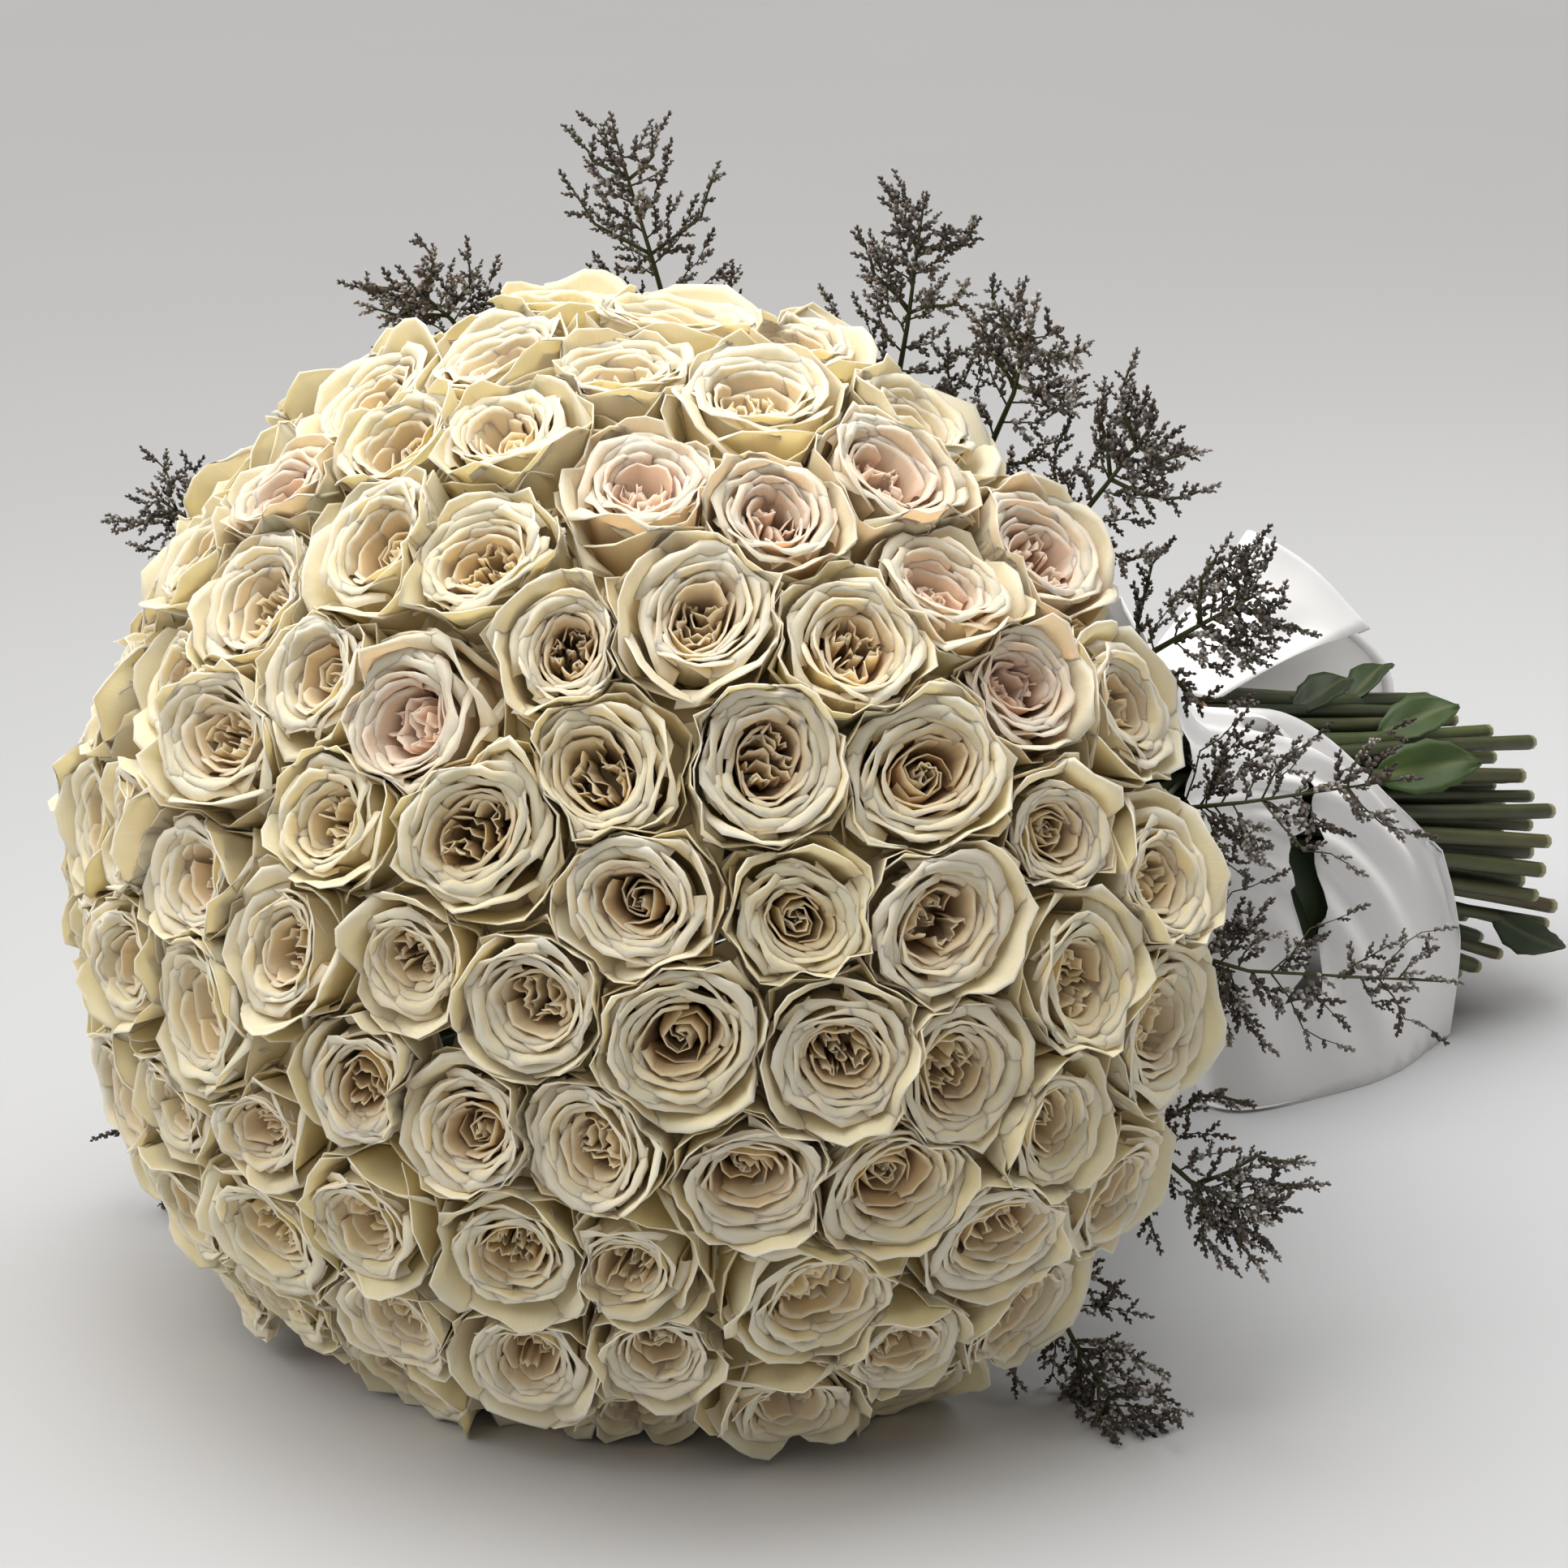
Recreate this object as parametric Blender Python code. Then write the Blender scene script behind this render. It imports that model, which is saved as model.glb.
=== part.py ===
"""A bouquet of over a hundred garden roses lying on its side, with a collar of sea lavender and a sheer wrap.

Metres, +Z up. The stems run towards +Y and the dome of roses faces -Y, turned a little towards +X.
"""

import math

import bpy
import numpy as np
from mathutils import Matrix, Vector
from mathutils.geometry import delaunay_2d_cdt

# Dome of roses: its middle, its radius across and along its axis, how far round it the roses go in degrees,
# and where it faces
ROSES = 104
DOME_CENTRE = (-0.020, 0.0, 0.183)
DOME_RADIUS = 0.238
DOME_DEPTH = 0.204
DOME_EDGE = 79.0
DOME_TURN = 20.0
DOME_TILT = 12.0
# How near the surface a rose's face may come where it looks along the surface, and where it looks down at it
LOWEST_FACING_OUT = 0.022
LOWEST_FACING_DOWN = 0.0035
PRESSED_OVER = 0.018
SPREAD_ROUNDS = 160

# One rose: from face to calyx, and how unevenly the faces lie and lean
ROSE_SPACING = 0.055
ROSE_DEPTH = 0.042
ROSE_UNEVEN = 0.0025
ROSE_LEAN = 0.09
WIDEST_GUARD = 0.64
GUARD_HEIGHT = 0.2
HEART_HEIGHT = 0.10
CALYX_RADIUS = 0.0065
# Where on the dome the blush roses are: across towards the near side, and up, in parts of its radius
BLUSH_NEAR = ((0.51, 0.76), (0.41, 0.69), (0.65, 0.62), (0.72, 0.67), (0.78, 0.47), (0.19, 0.71),
              (-0.04, 0.36), (-0.46, 0.65), (-0.30, -0.85))
MOST_IN_BUNCH = 3
LINK_OVERLAP = 0.0025

# Fit between neighbours
GAP = 0.0003

# Stems and binding
TIE = (0.0, 0.300, 0.160)
TIE_HALF_LENGTH = 0.036
TIE_SLOPE = -0.22
BUNDLE_RADIUS = 0.048
BUNDLE_SIDES = 16
STEMS_WITHIN = 0.0435
STEM_ROUNDS = 600
STEM_REACH = 0.22
STEM_RADIUS = 0.0034
NECK_RADIUS = 0.0031
NECK_LENGTH = 0.013
STEM_END = (0.0, 0.556, 0.077)
STEM_END_RADIUS = 0.070
STEM_END_UNEVEN = 0.020
STEM_TWIST = 24.0
LOWEST_STEM = 0.0045
TWINE = (-0.012, 0.002, 0.003)

# Leaves on the stems: round the bundle in degrees, how far along the spread stem, length
LEAVES = ((32, 0.42, 0.060), (56, 0.52, 0.052), (322, 0.84, 0.048), (120, 0.86, 0.048))
LEAF_WIDTH = 0.42
LEAF_THICK = 0.0008
LEAF_LEAN = 0.40
LEAF_FOLD = 0.005
# Along the leaf in parts of its length, and how high its middle vein arches there
LEAF_VEIN = ((0.0, 0.0), (0.25, 0.002), (0.55, 0.004), (0.80, 0.003), (1.0, 0.0))
# The teeth beside points 1, 2 and 3 of the vein: width in parts of the widest, and how far they sweep back
LEAF_TEETH = ((1, 0.80, 0.002), (2, 1.00, 0.004), (3, 0.62, 0.003))

# Sea lavender: direction round the dome in degrees, reach from its centre, forward lean of the tip
SPRAYS = ((-141, 0.292, 0.000), (-160, 0.282, -0.020), (180, 0.318, -0.060), (165, 0.312, -0.025),
          (149, 0.288, 0.000), (134, 0.288, 0.010), (122, 0.284, 0.020), (110, 0.300, 0.020),
          (84, 0.304, 0.020), (62, 0.268, 0.010), (28, 0.288, -0.010), (-34, 0.285, -0.020),
          (-80, 0.225, -0.040))
# Where a spray passes behind the roses and over their edge: out from the dome's centre, and forward
SPRAY_BEHIND = (0.205, -0.046)
SPRAY_OVER = (0.252, -0.016)
SPRAY_STEM = 0.0017
TWIG_RADIUS = 0.0011
TWIG_LENGTH = 0.050
FLORET_RADIUS = 0.0034
TWIG_PAIRS = 3
LOWEST_SPRAY = 0.004

# Wrap: where each fold leaves the bundle, in degrees from +X over +Z, and the point its rim hangs towards
WRAP_THICK = 0.0009
WRAP_NECK = 0.0490
WRAP_START = 0.005
WRAP_RIM = ((62, 0.030, 0.430, 0.215), (78, 0.012, 0.405, 0.247), (95, -0.008, 0.385, 0.264),
            (115, -0.038, 0.430, 0.242), (135, -0.062, 0.520, 0.190), (160, -0.080, 0.605, 0.135),
            (185, -0.090, 0.620, 0.085), (208, -0.090, 0.600, 0.030), (228, -0.085, 0.540, -0.050),
            (248, -0.060, 0.440, -0.060), (268, -0.015, 0.370, -0.065), (288, 0.028, 0.330, -0.065),
            (303, 0.048, 0.348, -0.062), (315, 0.062, 0.410, -0.062), (330, 0.062, 0.445, -0.062),
            (348, 0.055, 0.482, -0.035), (362, 0.064, 0.484, 0.045), (376, 0.074, 0.464, 0.086),
            (390, 0.074, 0.442, 0.108))
WRAP_SLIT = 12
WRAP_ROWS = (0.0, 0.22, 0.50, 0.84, 1.0)
WRAP_FOLD = 0.004
WRAP_FLARE = 0.030

# Puts the middle of the footprint at the origin
SHIFT = (0.0135, -0.2027, 0.0)


def unit(v):
    v = np.asarray(v, float)
    return v / np.linalg.norm(v)


def dome_axes():
    """Columns: across the dome (towards the far side), up its face, and out along its axis."""
    turn, tilt = math.radians(DOME_TURN), math.radians(DOME_TILT)
    out = np.array([math.sin(turn) * math.cos(tilt), -math.cos(turn) * math.cos(tilt), math.sin(tilt)])
    across = unit(np.cross(out, (0, 0, 1)))
    return np.stack([across, np.cross(across, out), out], axis=1)


AXES = dome_axes()
CENTRE = np.array(DOME_CENTRE)
SIZES = np.array([DOME_RADIUS, DOME_RADIUS, DOME_DEPTH])


def pressed(z, lowest):
    """Height of a rose face: those that would be under the surface are pushed up onto it."""
    low = lowest + PRESSED_OVER
    return np.where(z < low, lowest + PRESSED_OVER * np.exp((z - low) / PRESSED_OVER), z)


def on_dome(directions):
    points = CENTRE + (directions * SIZES) @ AXES.T
    facing = (directions / SIZES) @ AXES.T
    level = np.sqrt(1 - facing[:, 2]**2 / (facing**2).sum(axis=1))
    lowest = LOWEST_FACING_DOWN + (LOWEST_FACING_OUT - LOWEST_FACING_DOWN) * level
    points[:, 2] = pressed(points[:, 2], lowest)
    return points


def spread_roses(rng):
    """Directions of the roses, pushed apart until they pack evenly over the dome."""
    edge = math.radians(DOME_EDGE)
    count = np.arange(ROSES) + 0.5
    height = 1 - (1 - math.cos(edge)) * count / ROSES
    turn = count * 2.399963 + rng.uniform(-0.25, 0.25, ROSES)
    side = np.sqrt(1 - height**2)
    directions = np.stack([side * np.cos(turn), side * np.sin(turn), height], axis=1)
    reach = ROSE_SPACING * 1.5
    for _ in range(SPREAD_ROUNDS):
        points = on_dome(directions)
        apart = points[:, None] - points[None]
        distance = np.linalg.norm(apart, axis=2) + 1e-9
        push = np.clip(1 - distance / reach, 0, 1) ** 2
        np.fill_diagonal(push, 0)
        force = (apart / distance[..., None] * push[..., None]).sum(axis=1)
        directions = directions + 0.06 * force @ AXES
        directions /= np.linalg.norm(directions, axis=1)[:, None]
        over = directions[:, 2] < math.cos(edge)
        flat = directions[over, :2]
        flat /= np.linalg.norm(flat, axis=1)[:, None]
        directions[over] = np.column_stack([flat * math.sin(edge), np.full(over.sum(), math.cos(edge))])
    return directions


def plan_roses(rng):
    directions = spread_roses(rng)
    points = on_dome(directions)
    normals = (directions / SIZES) @ AXES.T
    normals += rng.normal(0, ROSE_LEAN, normals.shape) * np.linalg.norm(normals, axis=1)[:, None]
    normals /= np.linalg.norm(normals, axis=1)[:, None]
    points += normals * rng.uniform(-ROSE_UNEVEN, ROSE_UNEVEN, (ROSES, 1))
    distance = np.linalg.norm(points[:, None] - points[None], axis=2)
    spacing = np.sort(distance, axis=1)[:, 1:6].mean(axis=1)
    return directions, points, normals, distance, spacing


def pick_blush(directions):
    """The roses nearest the places on the dome's face where the blush ones are."""
    blush = set()
    for across, up in BLUSH_NEAR:
        side = math.hypot(across, up)
        target = np.array([-across, up, math.sqrt(max(0.0, 1 - side * side))])
        near = np.argsort(((directions - target) ** 2).sum(axis=1))
        blush.add(int(next(i for i in near if int(i) not in blush)))
    return blush


def side_by_side(points, distance, i, j):
    """Whether no third rose comes near the middle of the way between two."""
    middle = (points[i] + points[j]) / 2
    others = np.linalg.norm(points - middle, axis=1)
    others[[i, j]] = np.inf
    return others.min() > 1.2 * distance[i, j] / 2


def bunch_roses(points, distance, blush):
    """Bunches of up to three neighbours of one colour, begun where the fewest neighbours are free."""
    free = set(range(ROSES))
    near = [[int(j) for j in np.argsort(distance[i])[1:8] if side_by_side(points, distance, i, j)] for i in free]

    def open_to(i):
        return [j for j in near[i] if j in free and (j in blush) == (i in blush)]

    bunches = []
    while free:
        first = min(free, key=lambda i: (len(open_to(i)), i))
        free.remove(first)
        bunch, links = [first], []
        while len(bunch) < MOST_IN_BUNCH:
            pairs = [(distance[i, j], i, j) for i in bunch for j in open_to(i)]
            if not pairs:
                break
            _, i, j = min(pairs)
            free.remove(j)
            bunch.append(j)
            links.append((i, j))
        bunches.append((sorted(bunch), links))
    return sorted(bunches)


class Mesh:
    """Points and triangles gathered for one closed body."""

    def __init__(self):
        self.points = []
        self.faces = []

    def ring(self, points):
        start = len(self.points)
        self.points.extend(np.asarray(p, float) for p in points)
        return list(range(start, len(self.points)))

    def fan(self, ring, flip=False):
        for a, b in zip(ring[1:], ring[2:]):
            self.faces.append((ring[0], b, a) if flip else (ring[0], a, b))

    def peak(self, ring, point):
        top = self.ring([point])[0]
        for i, a in enumerate(ring):
            self.faces.append((a, ring[(i + 1) % len(ring)], top))

    def bridge(self, low, low_turns, high, high_turns):
        """Triangles between two closed rings of any counts, joined in order of their angles."""
        i = j = 0
        full = 2 * math.pi
        low_turns = list(low_turns) + [low_turns[0] + full]
        high_turns = list(high_turns) + [high_turns[0] + full]
        while i < len(low) or j < len(high):
            a, b = low[i % len(low)], high[j % len(high)]
            if j >= len(high) or (i < len(low) and low_turns[i + 1] <= high_turns[j + 1]):
                self.faces.append((a, low[(i + 1) % len(low)], b))
                i += 1
            else:
                self.faces.append((a, high[(j + 1) % len(high)], b))
                j += 1


def turns(count, start=0.0):
    return [math.radians(start) + 2 * math.pi * i / count for i in range(count)]


def sides_of(normal, turn):
    """Two directions across a rose's axis, turned about it."""
    u = unit(np.cross(normal, (0.3, 0.2, 1.0)))
    v = np.cross(normal, u)
    return u * math.cos(turn) + v * math.sin(turn), v * math.cos(turn) - u * math.sin(turn)


# Rings of a rose from calyx to heart: points, turn in degrees, radius at tips and notches, height likewise,
# in parts of the rose's spacing and depth
ROSE_RINGS = (
    (5, 36, 0.47, 0.47, -0.50, -0.50),
    (10, 0, 0.78, 0.64, -0.14, -0.26),
    (5, 0, 0.425, 0.425, -0.36, -0.36),
    (10, 36, 0.455, 0.405, 0.02, -0.09),
    (5, 36, 0.27, 0.27, -0.30, -0.30),
)


def cell_planes(index, points, normals, distance):
    """Planes between this rose and each near one: a point on it, and the direction out of the rose."""
    planes = []
    for j in np.argsort(distance[index])[1:19]:
        middle = (points[index] + points[j]) / 2
        lean = unit(normals[index] + normals[j])
        away = points[j] - points[index]
        away = unit(away - (away @ lean) * lean)
        planes.append((middle - away * (GAP / 2 + 0.00005), away))
    planes.append((np.zeros(3), np.array([0.0, 0.0, -1.0])))
    return planes


def share_inside(start, end, planes):
    """How far along start to end the way stays on the inner side of every plane."""
    share = 1.0
    for point, away in planes:
        before, after = (start - point) @ away, (end - point) @ away
        if after > 0:
            share = min(share, before / (before - after))
    return max(share, 0.05)


def reach_partner(ring, middle, index, links, points, normals):
    """Draws the point of the belly that faces a joined rose out past the middle between the two."""
    for pair in links:
        if index not in pair:
            continue
        other = pair[0] if pair[1] == index else pair[1]
        far = points[other] - normals[other] * ROSE_DEPTH * 0.5
        way = unit(far - middle)
        nearest = max(range(len(ring)), key=lambda k: unit(ring[k] - middle) @ way)
        ring[nearest] = (middle + far) / 2 + way * LINK_OVERLAP


def rose_mesh(index, points, normals, distance, spacing, links, rng):
    """A cupped rose: five guard petals, a five-petalled cup inside them and a raised heart."""
    face, normal = points[index], normals[index]
    size = float(np.clip(spacing[index], 0.9 * ROSE_SPACING, 1.1 * ROSE_SPACING))
    u, v = sides_of(normal, rng.uniform(0, 2 * math.pi))
    planes = cell_planes(index, points, normals, distance)
    mesh = Mesh()
    base_turns = turns(5)
    back = face - normal * ROSE_DEPTH
    last = mesh.ring([back + CALYX_RADIUS * (u * math.cos(t) + v * math.sin(t)) for t in base_turns])
    mesh.fan(last, flip=True)
    last_turns = base_turns
    for count, start, tip, notch, tip_height, notch_height in ROSE_RINGS:
        step = 2 * math.pi / count
        first = round((last_turns[0] - math.radians(start)) / step)
        ring_turns = [math.radians(start) + step * (first + k) for k in range(count)]
        ring = []
        for k, t in enumerate(ring_turns):
            at_notch = count == 10 and (first + k) % 2
            radius, height = (notch, notch_height) if at_notch else (tip, tip_height)
            radius *= size * rng.uniform(0.95, 1.05)
            height *= ROSE_DEPTH * rng.uniform(0.9, 1.1)
            across = u * math.cos(t) + v * math.sin(t)
            widest = WIDEST_GUARD * size
            guard = face - normal * GUARD_HEIGHT * ROSE_DEPTH
            squeeze = share_inside(guard, guard + across * widest, planes)
            radius *= 1 - (1 - squeeze) * min(1.0, radius / widest)
            middle = face + normal * height
            ring.append(middle + across * radius * share_inside(middle, middle + across * radius, planes))
        if tip_height == ROSE_RINGS[0][4]:
            reach_partner(ring, middle, index, links, points, normals)
        this = mesh.ring(ring)
        mesh.bridge(last, last_turns, this, ring_turns)
        last, last_turns = this, ring_turns
    mesh.peak(last, face - normal * HEART_HEIGHT * ROSE_DEPTH)
    return mesh


def bar(mesh, rings, sides):
    """A bar lofted through rings given as middle, radius, and two directions across."""
    last = None
    for middle, radius, u, v in rings:
        this = mesh.ring([middle + radius * (u * math.cos(t) + v * math.sin(t)) for t in turns(sides)])
        if last is None:
            mesh.fan(this, flip=True)
        else:
            mesh.bridge(last, turns(sides), this, turns(sides))
        last = this
    mesh.fan(last)


def object_from(name, mesh):
    data = bpy.data.meshes.new(name)
    data.from_pydata([tuple(p) for p in mesh.points], [], [tuple(f) for f in mesh.faces])
    data.update()
    return bpy.data.objects.new(name, data)


def fused(name, meshes, material):
    """One object from overlapping closed meshes, by a Boolean union."""
    first = object_from(name, meshes[0])
    bpy.context.scene.collection.objects.link(first)
    if len(meshes) > 1:
        others = bpy.data.collections.new(name + "_parts")
        for i, mesh in enumerate(meshes[1:]):
            others.objects.link(object_from(f"{name}_part_{i}", mesh))
        union = first.modifiers.new("union", "BOOLEAN")
        union.operation = "UNION"
        union.operand_type = "COLLECTION"
        union.collection = others
        union.solver = "MANIFOLD"
        graph = bpy.context.evaluated_depsgraph_get()
        joined = bpy.data.meshes.new_from_object(first.evaluated_get(graph))
        first.modifiers.clear()
        first.data = joined
        for part in list(others.objects):
            bpy.data.objects.remove(part)
        bpy.data.collections.remove(others)
    first.data.materials.clear()
    first.data.materials.append(material)
    return first


def principled(name, colour, roughness, alpha=1.0):
    material = bpy.data.materials.new(name)
    material.use_nodes = True
    shader = material.node_tree.nodes["Principled BSDF"]
    shader.inputs["Base Color"].default_value = (*colour, 1.0)
    shader.inputs["Roughness"].default_value = roughness
    shader.inputs["Alpha"].default_value = alpha
    return material


def path_bar(points, radii, sides, corner=(0.13, 0.31, 0.94)):
    """A bar along a path, its cross-sections carried along without twist from one with a corner that way."""
    points = [np.asarray(p, float) for p in points]
    facing = []
    for i, point in enumerate(points):
        before = unit(point - points[i - 1]) if i else None
        after = unit(points[i + 1] - point) if i + 1 < len(points) else None
        facing.append(after if before is None else before if after is None else unit(before + after))
    u = np.asarray(corner, float)
    rings = []
    for point, radius, along in zip(points, radii, facing):
        u = unit(u - (u @ along) * along)
        rings.append((point, radius, u, np.cross(along, u)))
    mesh = Mesh()
    bar(mesh, rings, sides)
    return mesh


def bundle_axes():
    along = unit((0.0, 1.0, TIE_SLOPE))
    return np.array([1.0, 0.0, 0.0]), np.cross((1.0, 0.0, 0.0), along), along


def at_tie(along_by, across, up):
    x, z, y = bundle_axes()
    return np.array(TIE) + x * across + z * up + y * along_by


def stem_places(directions):
    """Where each rose's stem passes the tie: the dome's order kept, then evened out within the bundle."""
    edge = math.radians(DOME_EDGE)
    out = np.sqrt((1 - directions[:, 2]) / (1 - math.cos(edge)))
    flat = directions[:, :2] / np.linalg.norm(directions[:, :2], axis=1)[:, None]
    places = np.column_stack([-flat[:, 0] * out, flat[:, 1] * out])
    for _ in range(STEM_ROUNDS):
        apart = places[:, None] - places[None]
        distance = np.linalg.norm(apart, axis=2) + 1e-9
        push = np.clip(1 - distance / STEM_REACH, 0, 1)
        np.fill_diagonal(push, 0)
        places = places + 0.05 * (apart / distance[..., None] * push[..., None]).sum(axis=1)
        places /= np.maximum(1.0, np.linalg.norm(places, axis=1))[:, None]
    return places * STEMS_WITHIN


def end_face(mesh, outline, roots, u, v):
    """Closes an end of the bound bundle round the roots of the stems that go out of it."""
    loops = [outline] + roots
    used = [i for loop in loops for i in loop]
    flat = [Vector((mesh.points[i] @ u, mesh.points[i] @ v)) for i in used]
    place = {index: k for k, index in enumerate(used)}
    edges = [(place[a], place[b]) for loop in loops for a, b in zip(loop, loop[1:] + loop[:1])]
    holes = [[place[i] for i in loop] for loop in roots]
    found = delaunay_2d_cdt(flat, edges, holes, 0, 1e-7)
    back = [used[origins[0]] for origins in found[3]]
    for face, inside in zip(found[2], found[5]):
        if not inside:
            mesh.faces.append(tuple(back[i] for i in face))


def stem_out(mesh, root, points, radii, u, last_facing=None):
    """A stem lofted from its root on the bundle's end through the points of its path."""
    sides = len(root)
    last = root
    for k, (point, radius) in enumerate(zip(points, radii)):
        at_end = k == len(points) - 1
        before = unit(point - (points[k - 1] if k else mesh.points[root[0]]))
        along = last_facing if at_end and last_facing is not None else before
        u = unit(u - (u @ along) * along)
        v = np.cross(along, u)
        this = mesh.ring([point + radius * (u * math.cos(t) + v * math.sin(t)) for t in turns(sides)])
        mesh.bridge(last, turns(sides), this, turns(sides))
        last = this
    mesh.fan(last)


def stem_roots(mesh, places, along, radius, sides, u, v):
    roots = []
    for place in places:
        middle = at_tie(along, *place)
        roots.append(mesh.ring([middle + radius * (u * math.cos(t) + v * math.sin(t)) for t in turns(sides)]))
    return roots


def bundle_rings(mesh):
    x, z, _ = bundle_axes()
    return [mesh.ring([at_tie(along, 0, 0) + BUNDLE_RADIUS * (x * math.cos(t) - z * math.sin(t))
                       for t in turns(BUNDLE_SIDES)]) for along in (-TIE_HALF_LENGTH, TIE_HALF_LENGTH)]


def cut_end(place, rng):
    """Where a stem's cut end lies in the spread of stems beyond the tie."""
    turn = math.radians(STEM_TWIST)
    across, up = np.array(place) / STEMS_WITHIN * STEM_END_RADIUS
    end = np.array(STEM_END) + (across * math.cos(turn) - up * math.sin(turn), 0.0,
                                across * math.sin(turn) + up * math.cos(turn))
    end[1] += rng.uniform(-STEM_END_UNEVEN, STEM_END_UNEVEN)
    end[2] = max(end[2], LOWEST_STEM)
    return end


def build_stems(plan, rng, material):
    """All the stems: pressed together where they are bound, spread to the roses and to their cut ends."""
    directions, points, normals = plan[:3]
    places = stem_places(directions)
    mesh = Mesh()
    x, z, along = bundle_axes()
    front, back = bundle_rings(mesh)
    mesh.bridge(front, turns(BUNDLE_SIDES), back, turns(BUNDLE_SIDES))
    roots = stem_roots(mesh, places, -TIE_HALF_LENGTH, NECK_RADIUS, 3, x, z)
    end_face(mesh, front, roots, x, z)
    for i, root in enumerate(roots):
        top = points[i] - normals[i] * (ROSE_DEPTH + GAP + 0.0001)
        neck = top - normals[i] * NECK_LENGTH
        stem_out(mesh, root, [neck, top], [NECK_RADIUS, CALYX_RADIUS * 0.9], x, normals[i])
    roots = stem_roots(mesh, places, TIE_HALF_LENGTH, STEM_RADIUS, 4, x, -z)
    end_face(mesh, back, roots, x, -z)
    ends = [cut_end(place, rng) for place in places]
    for end, root in zip(ends, roots):
        stem_out(mesh, root, [end], [STEM_RADIUS], x)
    starts = [at_tie(TIE_HALF_LENGTH, *place) for place in places]
    leaves = [leaf(starts, ends, *where) for where in LEAVES]
    return fused("rose_stems", [mesh] + leaves, material)


def leaf(starts, ends, angle, share, length):
    """A folded, toothed leaf that grows from the outermost stem on one side of the spread stems."""
    turn = math.radians(angle)
    away = np.array([math.cos(turn), 0.0, math.sin(turn)])
    at = [start + (end - start) * share for start, end in zip(starts, ends)]
    outermost = max(range(len(at)), key=lambda k: at[k] @ away)
    along = unit(unit(ends[outermost] - starts[outermost]) + LEAF_LEAN * away)
    across = unit(np.cross(along, away))
    top = np.cross(across, along)
    root = at[outermost] - along * STEM_RADIUS / 2
    half = length * LEAF_WIDTH / 2
    vein = [root + along * length * part + top * lift for part, lift in LEAF_VEIN]
    teeth = {way: [vein[k] + across * way * half * wide + top * LEAF_FOLD * wide - along * back
                   for k, wide, back in LEAF_TEETH] for way in (-1, 1)}
    outline = [vein[0]] + teeth[1] + [vein[4]] + teeth[-1][::-1]
    blade = Mesh()
    upper = blade.ring(outline + vein[1:4])
    lower = blade.ring([p - top * LEAF_THICK for p in outline + vein[1:4]])
    halves = ((0, 1, 8), (8, 1, 2), (8, 2, 9), (9, 2, 3), (9, 3, 10), (10, 3, 4),
              (0, 8, 7), (8, 6, 7), (8, 9, 6), (9, 5, 6), (9, 10, 5), (10, 4, 5))
    for a, b, c in halves:
        blade.faces += [(upper[a], upper[b], upper[c]), (lower[a], lower[c], lower[b])]
    for a in range(8):
        b = (a + 1) % 8
        blade.faces += [(upper[b], upper[a], lower[a]), (upper[b], lower[a], lower[b])]
    return blade


def build_twine(material):
    """The twine wound round the bundle, as one band."""
    x, z, _ = bundle_axes()
    low, high, thick = TWINE
    mesh = Mesh()
    inner = BUNDLE_RADIUS + GAP
    outline = ((low, inner), (low, inner + thick), (high, inner + thick), (high, inner))
    rings = []
    for along, radius in outline:
        middle = at_tie(along, 0, 0)
        rings.append(mesh.ring([middle + radius * (x * math.cos(t) - z * math.sin(t)) for t in turns(BUNDLE_SIDES)]))
    for a, b in zip(rings, rings[1:] + rings[:1]):
        mesh.bridge(a, turns(BUNDLE_SIDES), b, turns(BUNDLE_SIDES))
    return fused("binding_twine", [mesh], material)


def spray_path(angle, reach, lean):
    turn = math.radians(angle)
    across, up, out = AXES.T
    away = across * math.cos(turn) + up * math.sin(turn)
    beside = (-math.cos(turn), math.sin(turn))
    side = math.pi / BUNDLE_SIDES
    hold = BUNDLE_RADIUS * math.cos(side) / math.cos(turn % (2 * side) - side) + SPRAY_STEM + GAP
    root = at_tie(-0.46 * TIE_HALF_LENGTH, hold * beside[0], hold * beside[1])
    leave = at_tie(-1.3 * TIE_HALF_LENGTH, 1.13 * hold * beside[0], 1.13 * hold * beside[1])
    behind = CENTRE + away * SPRAY_BEHIND[0] + out * SPRAY_BEHIND[1]
    over = CENTRE + away * SPRAY_OVER[0] + out * SPRAY_OVER[1]
    tip = CENTRE + away * reach + out * lean
    half = leave * 0.52 + behind * 0.48
    path = [root, leave, half, behind, tip] if reach < SPRAY_OVER[0] else [root, leave, half, behind, over, tip]
    for point in path:
        point[2] = max(point[2], LOWEST_SPRAY)
    x, z, _ = bundle_axes()
    return path, unit(np.cross(out, away)), out, -(x * beside[0] + z * beside[1])


def twig_pair(start, along, side, out, length, rng):
    """Two opposite twigs as one forked bar through the stem, each bent forward and ending in florets."""
    points = [start]
    radii = [TWIG_RADIUS]
    for way in (side, -side):
        first = unit(along * 0.6 + way * 0.8 + out * rng.uniform(-0.4, 0.4))
        second = unit(along * 0.9 + way * 0.4 + out * rng.uniform(-0.4, 0.4))
        reach = length * rng.uniform(0.75, 1.1)
        florets = start + first * reach * 0.6
        tip = florets + second * reach * 0.4
        florets[2], tip[2] = max(florets[2], LOWEST_SPRAY), max(tip[2], LOWEST_SPRAY)
        points = [tip, florets] + points if way is side else points + [florets, tip]
        radii = [TWIG_RADIUS * 0.5, FLORET_RADIUS] + radii if way is side else radii + [FLORET_RADIUS,
                                                                                       TWIG_RADIUS * 0.5]
    return path_bar(points, radii, 3)


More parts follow.
